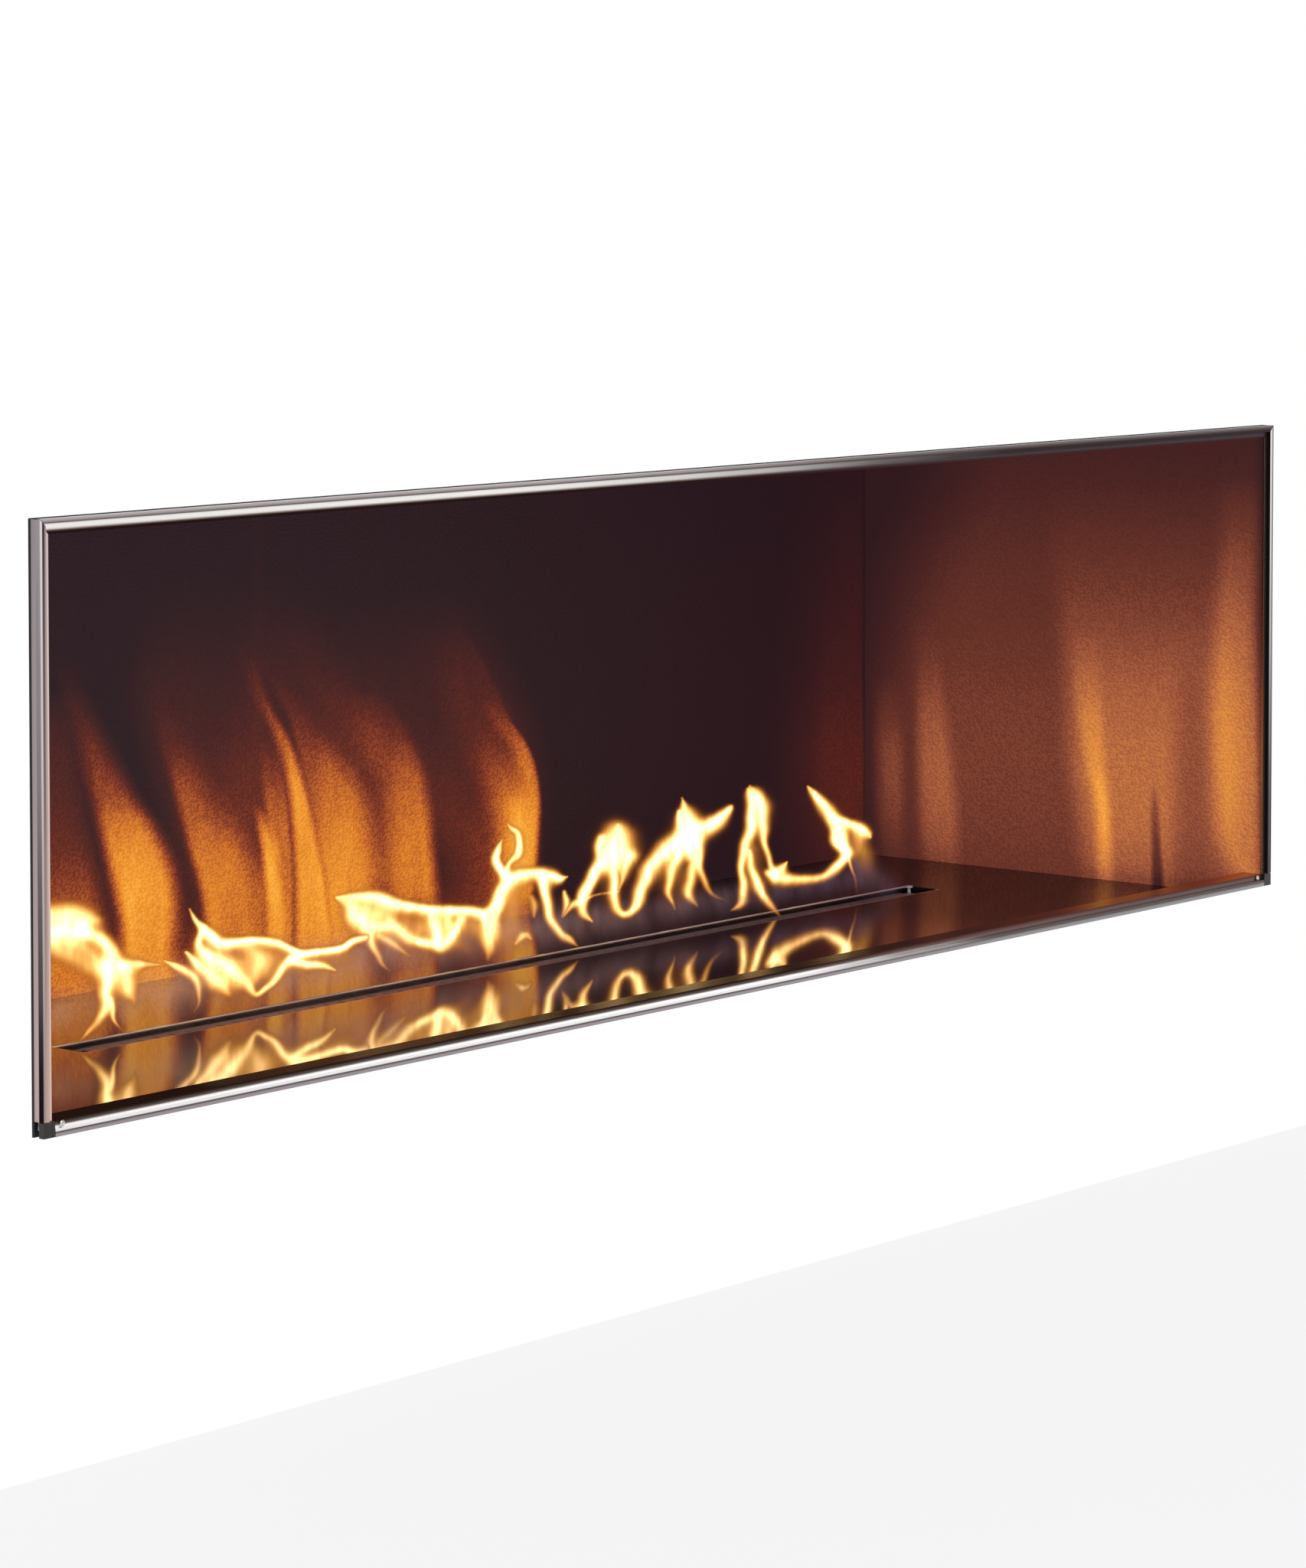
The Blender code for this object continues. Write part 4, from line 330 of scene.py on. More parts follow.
for face in board.data.polygons:
    inside_x = CUT_LEFT < face.center.x < CUT_RIGHT
    face.select = inside_x and CUT_LOW < face.center.z < CUT_HIGH
bpy.ops.object.mode_set(mode="EDIT")
bpy.ops.mesh.select_mode(type="FACE")
bpy.ops.mesh.delete(type="FACE")
bpy.ops.object.mode_set(mode="OBJECT")
board.data.materials.append(backdrop("wall_white", 1.0))
print("wall board faces:", len(board.data.polygons))

# %% [markdown]
# ## Light
# Soft studio light: an even white world that lights at a plain level, a wide lamp above left and
# two weaker ones, from the right and from behind. The world shows as pure white to the camera and
# in the steel.

# %% The world and the lamps
WORLD_LIGHT = 0.62
KEY_WATTS = 34.0
KEY_SIZE = 2.0
FILL_WATTS = 12.0
FILL_SIZE = 2.4
LAMP_AIM = Vector((0, 0, 0.35))

world = bpy.data.worlds.new("studio_world")
scene.world = world
world.use_nodes = True
tree = world.node_tree
tree.nodes.clear()
level = add_node(tree, "MapRange", seen_rays(tree), 0.0, 1.0, WORLD_LIGHT, BACKDROP_WHITE)
sky = add_node(tree, "Background", Strength=level.outputs[0])
add_node(tree, "OutputWorld", sky.outputs[0])


def lamp(name, place, size, watts):
    """A soft square lamp that looks at the middle of the fireplace."""
    data = bpy.data.lights.new(name, "AREA")
    data.shape = "SQUARE"
    data.size = size
    data.energy = watts
    made = bpy.data.objects.new(name, data)
    scene.collection.objects.link(made)
    made.location = place
    made.rotation_euler = (LAMP_AIM - Vector(place)).to_track_quat("-Z", "Y").to_euler()


lamp("key_lamp", (-2.2, -3.0, 2.6), KEY_SIZE, KEY_WATTS)
lamp("fill_lamp", (3.0, -2.2, 1.8), FILL_SIZE, FILL_WATTS)
lamp("back_lamp", (0.8, 3.2, 2.4), FILL_SIZE, FILL_WATTS)
scene.view_settings.view_transform = "Standard"
print("world", WORLD_LIGHT, "lamps", KEY_WATTS, FILL_WATTS)

# %% [markdown]
# ## The trim's stainless steel
# The narrow frame round the opening is polished sheet steel, folded in two steps. The studio that
# it mirrors in long grey, white and dark bands is a painted reflection: a row of tones is painted
# across each strip and blends into a second row towards its far end. The edge that turns into the
# opening gets a painted reflection of the fire, and the left strip's outer side painted bands of
# its own. A noise that is stretched along the strip adds the fine lines of rolled steel.

# %% Polished stainless steel
ROLLED_LINES = 2600.0
LINES_ALONG = 3.0
FOLD_EDGE = 0.3 * MILLIMETRE
OUTSIDE_EDGE = 0.2 * MILLIMETRE
WORN_TONE = "6f666a"


def stainless(name, along, near, far=None):
    """Rolled stainless; along is the strip's own axis, near and far are the tones at its ends: rows of
    painted reflection across a trim strip, or the grain's two tones when there is no far.
    """
    finish = Finish(name)
    stretch = [ROLLED_LINES] * 3
    stretch[along] = LINES_ALONG
    lines = finish.noise(finish.stretched(stretch), 1.0, 3.0)
    parts = finish.axes()
    if far:
        low, high = BAND_REACH[name]
        width = finish.ranged(parts[2 - along], low, high)
        run = finish.noise(finish.stretched((5.0, 5.0, 5.0)), 1.0, 3.0)
        run = finish.spread(run, -RUN_WANDER, RUN_WANDER)
        share = finish.ranged(finish.math("ADD", parts[along], run), *CHANGE_SPAN[name], smooth=True)
        colour = finish.blend(share, finish.ramp(width, near), finish.ramp(width, far))
        if name == "trim_steel_left":
            # The left strip's outer side gets painted reflection bands of its own.
            outside = finish.ranged(parts[0], low, low + OUTSIDE_EDGE, 1.0, 0.0)
            depth = finish.ranged(parts[1], TRIM_FRONT, WALL_Y)
            side = finish.blend(share, finish.ramp(depth, OUTSIDE_REFLECTION_NEAR), finish.ramp(depth, OUTSIDE_REFLECTION_FAR))
            colour = finish.blend(outside, colour, side)
        else:
            # The edge that turns into the opening gets its painted reflection.
            returned = finish.ranged(parts[1], RETURN_START, RETURN_START + FOLD_EDGE)
            ledge_reflection = finish.ramp(finish.ranged(parts[along], *TRIM_SPAN[along]), RETURN_REFLECTION[name])
            colour = finish.blend(returned, colour, ledge_reflection)
    else:
        colour = finish.ramp(lines, near)
    worn = finish.spread(lines, 0.0, 0.04)
    bright = finish.ranged(colour, 0.02, 0.14)
    finish.set(Base_Color=finish.blend(worn, colour, tone(WORN_TONE)), Metallic=bright)
    finish.set(Specular_IOR_Level=finish.ranged(bright, 0.0, 1.0, 0.0, 0.5))
    finish.set(Roughness=finish.spread(lines, 0.2, 0.32))
    finish.set(Normal=finish.relief(lines, 0.03 * MILLIMETRE, 0.3))
    return finish


RETURN_START = -0.2008
# Painted reflections on each strip's turned edge: the fire at the bottom and right, dark at the top.
RETURN_REFLECTION = {
    "trim_steel_bottom": [(0.0, "33201a"), (0.5, "40281c"), (0.7, "3c2827"), (0.87, "74382c"),
                          (1.0, "b05a38")],
    "trim_steel_top": [(0.0, "2a1918"), (1.0, "2a1918")],
    "trim_steel_right": [(0.0, "a97a5e"), (1.0, "a97a5e")],
}
TRIM_FRONT = -0.2038
# Painted reflection bands across the outer side of the left strip, near the camera and at its far end.
OUTSIDE_REFLECTION_NEAR = [(0.0, "c8c0c2"), (0.06, "9c9296"), (0.5, "958b8f"), (0.84, "8a8084"), (0.9, "140f0f")]
OUTSIDE_REFLECTION_FAR = [(0.0, "1c1216"), (0.36, "1c1216"), (0.44, "bea5a0"), (0.9, "b09a98"), (1.0, "6a5a5a")]
TRIM_SPAN = {0: (-0.618, 0.618), 2: (0.524, 0.188)}
RUN_WANDER = 0.05
CHANGE_SPAN = {
    "trim_steel_bottom": (0.04, 0.3),
    "trim_steel_top": (-0.25, 0.26),
    "trim_steel_left": TRIM_SPAN[2],
    "trim_steel_right": TRIM_SPAN[2],
}
BAND_REACH = {
    "trim_steel_bottom": (0.188, 0.1965),
    "trim_steel_top": (0.524, 0.5155),
    "trim_steel_left": (-0.618, -0.6095),
    "trim_steel_right": (0.618, 0.6095),
}
# Painted reflections of the studio: rows of tones across each strip, near the camera and at its far end.
BOTTOM_REFLECTION_NEAR = [
    (0.0, "8d8488"), (0.08, "aa9fa1"), (0.2, "a0959a"), (0.27, "605655"), (0.32, "5a5052"),
    (0.37, "f4f2f2"), (0.5, "ffffff"), (0.62, "fbf5f4"), (0.68, "a09896"), (0.74, "5a4f4b"),
    (0.84, "4c3d36"), (0.93, "33201a"), (1.0, "33201a"),
]
BOTTOM_REFLECTION_FAR = [
    (0.0, "9d9798"), (0.16, "a19b9d"), (0.28, "8a8484"), (0.38, "504c49"), (0.5, "695b58"),
    (0.65, "745b57"), (0.8, "6e4c49"), (0.92, "5a312c"), (1.0, "5a312c"),
]
TOP_REFLECTION_NEAR = [
    (0.0, "c4bcbc"), (0.1, "b8afae"), (0.2, "948b89"), (0.25, "6e6563"), (0.29, "7a716f"), (0.34, "f4efec"),
    (0.5, "ffffff"), (0.64, "fbf5f2"), (0.7, "c8bcb6"), (0.76, "7e6d65"), (0.84, "2c1a18"), (1.0, "231617"),
]
TOP_REFLECTION_FAR = [
    (0.0, "7a7270"), (0.12, "756a69"), (0.22, "514343"), (0.34, "3e3031"), (0.45, "37292c"),
    (0.56, "403136"), (0.7, "46363a"), (0.8, "4e3a3d"), (0.9, "42292a"), (1.0, "452624"),
]
LEFT_REFLECTION_NEAR = [
    (0.0, "ece6e6"), (0.14, "efe8e8"), (0.2, "57484b"), (0.34, "2e2225"), (0.42, "a8989a"), (0.6, "b5a5a6"),
    (0.75, "c8b9b8"), (0.94, "ead8d4"), (1.0, "7a5450"),
]
LEFT_REFLECTION_FAR = [
    (0.0, "9a8a80"), (0.3, "c4aaa0"), (0.6, "d8b8ac"), (0.85, "e0bdb2"), (0.95, "f6d8cd"), (1.0, "8e5c50"),
]
RIGHT_REFLECTION_NEAR = [
    (0.0, "4f504d"), (0.1, "8f9490"), (0.2, "b8bab7"), (0.3, "f5f1f0"), (0.44, "f7f3f2"), (0.5, "1f1513"),
    (0.68, "241a18"), (0.76, "6b5f5c"), (0.92, "8c7876"), (1.0, "6b4a44"),
]
RIGHT_REFLECTION_FAR = [
    (0.0, "231d20"), (0.12, "2a2427"), (0.2, "5b545c"), (0.44, "4a434b"), (0.5, "1f181a"), (0.62, "2a2022"),
    (0.8, "4f4548"), (0.95, "a8714f"), (1.0, "b98258"),
]
dress(stainless("trim_steel_bottom", 0, BOTTOM_REFLECTION_NEAR, BOTTOM_REFLECTION_FAR), "trim_bottom")
dress(stainless("trim_steel_top", 0, TOP_REFLECTION_NEAR, TOP_REFLECTION_FAR), "trim_top")
dress(stainless("trim_steel_left", 2, LEFT_REFLECTION_NEAR, LEFT_REFLECTION_FAR), "trim_left")
dress(stainless("trim_steel_right", 2, RIGHT_REFLECTION_NEAR, RIGHT_REFLECTION_FAR), "trim_right")
SMALL_STEEL = [(0.3, "aaa5a5"), (0.62, "dedbda")]
dress(stainless("small_steel", 0, SMALL_STEEL), "trim_screw_left", "trim_screw_right")

# %% [markdown]
# ## The hammered liner
# The liner is stainless sheet with a fine hammered grain of about two millimetres. Its colour is
# painted near black, a painted reflection of the dark room, and where it mirrors the fire the grain
# breaks the flames into tall soft tongues of amber light. These tongues are a painted reflection
# that the back and side walls emit as a glow, with painted highlights and shade of the grain: bands
# with a left edge, a right edge and a strength that change with height, read from the photograph
# and carried to the wall's own plane, so they stay in place from every side.

# %% The hammered grain
GRAIN_SCALE = 440.0
GRAIN_STRETCH = (1.0, 1.0, 1.35)
GRAIN_SHIFT = 0.0008
GRAIN_DEPTH = 0.5 * MILLIMETRE
BACK_SWING = 0.22
SIDE_SWING = 0.13


def hammered(name, swing):
    """A hammered sheet painted near black, a painted reflection of the dark room; gives the finish and how
    much each spot of the grain catches painted light.
    """
    finish = Finish(name)
    wander = finish.noise(finish.place, 60.0, 2.0)
    grain = finish.cells(finish.stretched(GRAIN_STRETCH), GRAIN_SCALE)
    moved = finish.stretched(GRAIN_STRETCH, (GRAIN_SHIFT, GRAIN_SHIFT, -GRAIN_SHIFT))
    neighbour = finish.cells(moved, GRAIN_SCALE)
    # The slope between neighbouring cells is a painted highlight and painted shade of the grain, used on
    # the painted glow.
    slope = finish.math("SUBTRACT", grain, neighbour)
    catch = finish.ranged(slope, -0.3, 0.3, 1 - swing, 1 + swing)
    # A near-black base with a random tone: a painted reflection of the dark room.
    base = finish.ramp(wander, [(0.3, "0d0708"), (0.7, "140b0d")])
    finish.set(Base_Color=base, Metallic=0.1, Roughness=0.5, Specular_IOR_Level=0.16)
    finish.set(Normal=finish.relief(grain, GRAIN_DEPTH, 0.6))
    return finish, catch


def grained(finish, glow, catch):
    """The painted glow with the grain's painted highlights and shade, which show most where the glow is
    weak and least where it is full.
    """
    share = finish.ranged(glow, 0.3, 0.95, 1.0, 0.3)
    swing = finish.math("MULTIPLY", finish.math("SUBTRACT", catch, 1.0), share)
    return finish.math("MULTIPLY", glow, finish.math("ADD", swing, 1.0))


finish_roof = hammered("hammered_roof", SIDE_SWING)[0]
dress(finish_roof, "liner_top")

# %% [markdown]
# ### Drawing a tongue of light
# A tongue is a list of rows: the pixel row, its left and right edge and its strength. Three drawn
# curves over the height give both edges and the strength, and two smooth steps make soft sides.
# Heights and widths are in metres, and a slow noise sways the whole row of tongues a little.

# %% The band of one tongue
GLOW_LOW = 0.17
GLOW_HIGH = 0.53
GLOW_SWAY = 6 * MILLIMETRE


class GlowWall:
    """Soft bands of painted light on an upright wall, drawn over the wall's width and height."""

    def __init__(self, finish, axis, place, low, high):
        self.finish = finish
        self.axis = axis
        self.place = place
        self.low = low
        self.high = high
        parts = finish.axes()
        sway = finish.noise(finish.stretched((9.0, 9.0, 3.0)), 1.0, 2.0)
        bent = finish.ranged(sway, 0.2, 0.8, -GLOW_SWAY, GLOW_SWAY)
        self.across = finish.math("ADD", parts[1 - axis], bent)
        self.height = finish.ranged(parts[2], GLOW_LOW, GLOW_HIGH)

    def share(self, value):
        """Where a place lies between the wall's two ends, from 0 to 1."""
        return (value - self.low) / (self.high - self.low)

    def band(self, rows, soft_left, soft_right):
        """The strength of one tongue; the softness of its sides is in millimetres."""
        finish = self.finish
        side = 1 - self.axis
        lines = [[], [], []]
        for row, first, last, power in rows:
            middle = on_plane((first + last) / 2, row, self.axis, self.place)
            tall = (middle.z - GLOW_LOW) / (GLOW_HIGH - GLOW_LOW)
            ends = sorted(on_plane(c, row, self.axis, self.place)[side] for c in (first, last))
            for line, value in zip(lines, (self.share(ends[0]), self.share(ends[1]), power)):
                line.append((tall, value))
        curves = [finish.curve(self.height, sorted(line)) for line in lines]
        sides = []
        for curve, soft in zip(curves, (soft_left, soft_right)):
            edge = finish.ranged(curve, 0.0, 1.0, self.low, self.high)
            start = finish.math("SUBTRACT", edge, soft * MILLIMETRE)
            end = finish.math("ADD", edge, soft * MILLIMETRE)
            sides.append(finish.ranged(self.across, start, end, 0.0, 1.0, smooth=True))
        inside = finish.math("SUBTRACT", sides[0], sides[1], clamp=True)
        return finish.math("MULTIPLY", inside, curves[2])

    def total(self, tongues):
        """All tongues together, brighter where they overlap."""
        darks = [self.finish.math("SUBTRACT", 1.0, self.band(*tongue)) for tongue in tongues]
        dark = darks[0]
        for other in darks[1:]:
            dark = self.finish.math("MULTIPLY", dark, other)
        return self.finish.math("SUBTRACT", 1.0, dark)


print("glow drawn from", GLOW_LOW, "to", GLOW_HIGH, "m")

# %% [markdown]
# ### The tongues on the back wall
# The amber tongues, painted reflections of the fire, lean to the left as they rise. The one on the
# right has a sharp bright right edge, and the tallest is thin. Wide weak bands of painted glow fill
# the space between, and a painted red glow marks the far corner. Each line of the list below is a
# tongue and the softness of its left and right side.

# %% The tongues on the back wall
TONGUE_FAR_LEFT = [
    (1290, 150, 238, 0.6), (1255, 156, 228, 0.88), (1210, 156, 232, 0.93), (1154, 145, 226, 0.93),
    (1090, 130, 201, 0.76), (1043, 119, 168, 0.47), (995, 107, 143, 0.3), (963, 101, 128, 0.22),
    (931, 92, 114, 0.12), (860, 66, 90, 0.0),
]
# A painted glow low on the near end of the wall.
NEAR_PAINTED_GLOW = [
    (1290, 56, 156, 0.5), (1250, 56, 146, 0.6), (1215, 56, 132, 0.52), (1160, 56, 122, 0.34),
    (1100, 56, 112, 0.22), (1030, 56, 106, 0.14), (980, 56, 102, 0.12), (900, 56, 96, 0.0),
]
TONGUE_SECOND = [
    (1260, 285, 350, 0.5), (1200, 272, 345, 0.66), (1154, 264, 340, 0.66), (1106, 250, 312, 0.57),
    (1059, 237, 286, 0.34), (1027, 227, 266, 0.28), (995, 217, 252, 0.17), (963, 208, 236, 0.08),
    (900, 195, 215, 0.0),
]
TONGUE_NARROW = [
    (1240, 352, 378, 0.5), (1154, 349, 370, 0.96), (1106, 344, 363, 0.86), (1075, 338, 353, 0.5),
    (1050, 333, 343, 0.0),
]
TONGUE_BETWEEN = [
    (1240, 362, 384, 0.5), (1180, 362, 386, 0.56), (1120, 360, 384, 0.52), (1060, 352, 379, 0.42),
    (1010, 345, 372, 0.16), (960, 340, 365, 0.0),
]
TONGUE_MAIN = [
    (1240, 392, 440, 0.5), (1154, 392, 430, 0.95), (1106, 390, 421, 0.93), (1059, 387, 411, 0.98),
    (1027, 382, 402, 0.9), (995, 375, 392, 0.7), (963, 363, 379, 0.48), (931, 347, 360, 0.26),
    (900, 331, 347, 0.1), (835, 305, 330, 0.0),
]
TONGUE_BESIDE = [
    (1240, 440, 470, 0.4), (1154, 432, 494, 0.75), (1106, 424, 492, 0.68), (1059, 415, 484, 0.52),
    (1027, 407, 468, 0.42), (995, 398, 446, 0.3), (963, 390, 420, 0.22), (931, 380, 400, 0.14),
    (900, 362, 378, 0.07), (850, 335, 350, 0.0),
]
TONGUE_RED = [
    (1175, 515, 572, 0.5), (1154, 508, 570, 0.72), (1106, 506, 566, 0.74), (1059, 504, 563, 0.6),
    (1011, 500, 556, 0.4), (963, 476, 536, 0.18), (900, 450, 500, 0.0),
]
TONGUE_RIGHT = [
    (1185, 650, 692, 0.5), (1150, 650, 698, 0.86), (1110, 650, 701, 0.96), (1070, 650, 703, 0.9),
    (1030, 638, 701, 0.52), (990, 618, 690, 0.26), (950, 600, 668, 0.12), (910, 580, 648, 0.08),
    (870, 565, 628, 0.06), (810, 545, 590, 0.0),
]
RIGHT_RIM = [
    (1070, 690, 706, 0.0), (1030, 686, 703, 0.36), (1000, 676, 697, 0.4), (970, 662, 684, 0.34),
    (940, 640, 662, 0.14), (910, 622, 648, 0.0),
]
TONGUE_FILL = [
    (1280, 130, 480, 0.2), (1180, 262, 500, 0.24), (1100, 250, 500, 0.25), (1030, 225, 500, 0.21),
    (960, 200, 480, 0.13), (880, 180, 430, 0.07), (800, 200, 400, 0.02), (740, 220, 380, 0.0),
]
TONGUE_HAZE = [
    (1200, 590, 670, 0.3), (1100, 580, 690, 0.24), (1000, 490, 690, 0.13), (900, 420, 660, 0.07),
    (780, 350, 600, 0.0),
]
LOW_SHEEN = [
    (1290, 66, 640, 0.26), (1250, 66, 620, 0.22), (1200, 66, 560, 0.1), (1130, 66, 500, 0.03),
    (1060, 66, 430, 0.0),
]
# A painted red glow in the far corner.
CORNER_PAINTED_GLOW = [
    (1150, 1060, 1126, 0.1), (1000, 1050, 1126, 0.16), (850, 1060, 1126, 0.09), (700, 1070, 1126, 0.04),
    (560, 1080, 1126, 0.0),
]
BACK_GLOW = [
    (0.0, "25141a"), (0.1, "411b1b"), (0.22, "61241a"), (0.36, "893a20"), (0.5, "ad5424"), (0.64, "cc6f26"),
    (0.78, "e28629"), (0.9, "f29a30"), (1.0, "fcae3e"),
]
BACK_TONGUES = [
    (TONGUE_FAR_LEFT, 9, 14), (NEAR_PAINTED_GLOW, 5, 16), (TONGUE_SECOND, 6, 22), (TONGUE_NARROW, 5, 7),
    (TONGUE_BETWEEN, 4, 3), (TONGUE_MAIN, 7, 5), (TONGUE_BESIDE, 5, 16), (TONGUE_RED, 18, 9),
    (TONGUE_RIGHT, 22, 5), (RIGHT_RIM, 8, 3), (TONGUE_FILL, 26, 30), (TONGUE_HAZE, 40, 26),
    (LOW_SHEEN, 5, 40), (CORNER_PAINTED_GLOW, 60, 3),
]
back_low, back_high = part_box("liner_back")
print("back wall from", round(back_low.x, 3), "to", round(back_high.x, 3), "m")
BACK_FACE = 0.1597
BACK_STRENGTH = 1.0
WALL_HALF = 0.62
finish_back, catch_back = hammered("hammered_back", BACK_SWING)
wall_back = GlowWall(finish_back, 1, BACK_FACE, -WALL_HALF, WALL_HALF)
glow_back = wall_back.total(BACK_TONGUES)
licks = finish_back.noise(finish_back.stretched((26.0, 26.0, 7.0)), 1.0, 3.0)
licks = finish_back.spread(licks, 0.8, 1.12)
glow_back = finish_back.math("MULTIPLY", glow_back, licks, clamp=True)
shown_back = grained(finish_back, glow_back, catch_back)
# The back wall emits the painted reflection of the fire as a glow.
finish_back.set(Emission_Color=finish_back.ramp(shown_back, BACK_GLOW))
finish_back.set(Emission_Strength=BACK_STRENGTH)
dress(finish_back, "liner_back")

# %% [markdown]
# ### The right wall
# The right end wall faces the camera most squarely and mirrors the whole fire, so it is painted
# copper all over as an emitted glow, a painted reflection, with two red streaks near the back, a
# bright one in the middle and amber at its front edge. A painted dark stripe and a painted dark
# valley of shade are taken off the sum. The left wall gets the same finish.

# %% The copper glow of the right wall
STREAK_BACK = [
    (1110, 1152, 1180, 0.1), (1060, 1150, 1181, 0.22), (1000, 1150, 1181, 0.26), (940, 1148, 1178, 0.14),
    (880, 1145, 1170, 0.0),
]
STREAK_SECOND = [
    (1130, 1210, 1250, 0.12), (1080, 1206, 1252, 0.26), (1020, 1204, 1248, 0.3), (950, 1202, 1240, 0.26),
    (880, 1200, 1232, 0.12), (800, 1195, 1225, 0.0),
]
STREAK_BRIGHT = [
    (1150, 1440, 1458, 0.3), (1110, 1438, 1457, 0.45), (1056, 1436, 1453, 0.6), (1000, 1426, 1448, 0.4),
    (950, 1418, 1446, 0.3), (900, 1412, 1444, 0.16), (820, 1410, 1440, 0.0),
]
GLOW_MIDDLE = [
    (1150, 1420, 1600, 0.16), (1080, 1415, 1610, 0.4), (1000, 1405, 1620, 0.4), (900, 1400, 1620, 0.32),
    (800, 1390, 1630, 0.15), (700, 1380, 1640, 0.05), (620, 1380, 1640, 0.0),
]
GLOW_WIDE = [
    (1150, 1180, 1680, 0.28), (1050, 1170, 1680, 0.34), (950, 1170, 1680, 0.34), (850, 1180, 1680, 0.28),
    (750, 1200, 1680, 0.22), (650, 1240, 1680, 0.14), (560, 1260, 1680, 0.08),
]
EDGE_AMBER = [
    (1150, 1610, 1680, 0.5), (1080, 1590, 1680, 0.42), (1000, 1586, 1650, 0.42), (920, 1584, 1646, 0.42),
    (840, 1588, 1644, 0.36), (760, 1592, 1644, 0.24), (690, 1598, 1646, 0.14), (620, 1600, 1650, 0.0),
]
# Painted shade: a narrow dark stripe and a wider dark valley in the painted glow.
PAINTED_SHADE_STRIPE = [
    (1158, 1508, 1522, 0.34), (1110, 1509, 1520, 0.3), (1060, 1509, 1518, 0.2), (1025, 1509, 1516, 0.0),
]
PAINTED_SHADE_VALLEY = [
    (1150, 1540, 1590, 0.14), (1050, 1540, 1585, 0.16), (950, 1540, 1580, 0.12), (850, 1545, 1580, 0.0),
]
SIDE_GLOW = [
    (0.0, "2c171b"), (0.12, "43201f"), (0.3, "633025"), (0.46, "874732"), (0.6, "a9603a"), (0.78, "d5853c"),
    (0.9, "f0a341"), (1.0, "ffc45c"),
]
RIGHT_FACE = 0.6095
SIDE_FRONT = -0.2
SIDE_BACK = 0.162
SIDE_STRENGTH = 1.15
finish_side, catch_side = hammered("hammered_side", SIDE_SWING)
wall_side = GlowWall(finish_side, 0, RIGHT_FACE, SIDE_FRONT, SIDE_BACK)
glow_side = wall_side.total([
    (STREAK_BACK, 8, 8), (STREAK_SECOND, 8, 8), (STREAK_BRIGHT, 5, 6), (GLOW_MIDDLE, 20, 16),
    (GLOW_WIDE, 6, 60), (EDGE_AMBER, 10, 12),
])
painted_shade_side = wall_side.total([(PAINTED_SHADE_STRIPE, 3, 3), (PAINTED_SHADE_VALLEY, 12, 12)])
glow_side = finish_side.math("SUBTRACT", glow_side, painted_shade_side, clamp=True)
shown_side = grained(finish_side, glow_side, catch_side)
# The wall emits the painted reflection of the fire as a glow.
finish_side.set(Emission_Color=finish_side.ramp(shown_side, SIDE_GLOW))
finish_side.set(Emission_Strength=SIDE_STRENGTH)
dress(finish_side, "liner_right", "liner_left")

# %% [markdown]
# ## The deck
# The deck round the burner is a near-black gloss panel. Seen at a low angle such a panel mirrors
# almost like glass, so the flames stand in it upside down. A dark base, gloss as of glass and a
# clear coat give that mirror at low angles, and the panel stays black from above. The gloss fades
# towards the right end, where the photograph shows a dull brown. Faint wipe marks vary the
# roughness. The slot's cut edge is dark brown low down, with a painted highlight along its top
# rim, and a painted highlight strip runs along the slot's front edge.

# %% Gloss black
deck = Finish("deck_gloss_black")
wipes = deck.noise(deck.stretched((14.0, 60.0, 14.0)), 1.0, 3.0)
SLOT_FRONT_EDGE = 0.0034
SLOT_BACK_EDGE = 0.0322
SLOT_MIDDLE = 0.05255
SLOT_HALF = 0.4375
DECK_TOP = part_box("deck_panel")[1].z
CUT_SEEN = 0.6 * MILLIMETRE
CUT_DEPTH = 2.5 * MILLIMETRE
LIP_SEEN = 3.0 * MILLIMETRE
LIP_HIGHLIGHT = "d8b4a6"
DULL_START = 0.22
DULL_END = 0.4
CUT_TONES_AND_HIGHLIGHT = [(0.0, "4a3539"), (0.5, "5a4246"), (0.66, "e6d0c8"), (1.0, "fbeae2")]
deck_black = deck.ramp(wipes, [(0.3, "291e21"), (0.7, "33262a")])
deck_parts = deck.axes()
slot_run = deck.math("ABSOLUTE", deck.math("SUBTRACT", deck_parts[0], SLOT_MIDDLE))
in_slot = deck.ranged(slot_run, SLOT_HALF, SLOT_HALF + CUT_SEEN, 1.0, 0.0)
edge_height = deck.ranged(deck_parts[2], DECK_TOP - CUT_DEPTH, DECK_TOP)
cut_tone_and_highlight = deck.ramp(edge_height, CUT_TONES_AND_HIGHLIGHT)


def near_edge(edge, reach):
    """1 on a long edge of the slot and 0 beyond a short reach from it."""
    away = deck.math("ABSOLUTE", deck.math("SUBTRACT", deck_parts[1], edge))
    near = deck.ranged(away, 0.0, reach, 1.0, 0.0, smooth=True)
    return deck.math("MULTIPLY", near, in_slot)


# The back rim's painted highlight, then the front edge's painted highlight strip.
deck_colour = deck.blend(near_edge(SLOT_BACK_EDGE, CUT_SEEN), deck_black, cut_tone_and_highlight)
deck_colour = deck.blend(near_edge(SLOT_FRONT_EDGE, LIP_SEEN), deck_colour, tone(LIP_HIGHLIGHT))
deck.set(Base_Color=deck_colour)
deck.set(Roughness=deck.spread(wipes, 0.05, 0.08), IOR=1.52)
dulled = deck.ranged(deck_parts[0], DULL_START, DULL_END, smooth=True)
deck.set(Specular_IOR_Level=deck.ranged(dulled, 0.0, 1.0, 0.5, 0.06))
deck.set(Coat_Weight=deck.ranged(dulled, 0.0, 1.0, 0.6, 0.0))
deck.set(Coat_Roughness=0.04, Coat_IOR=1.5)
dress(deck, "deck_panel")

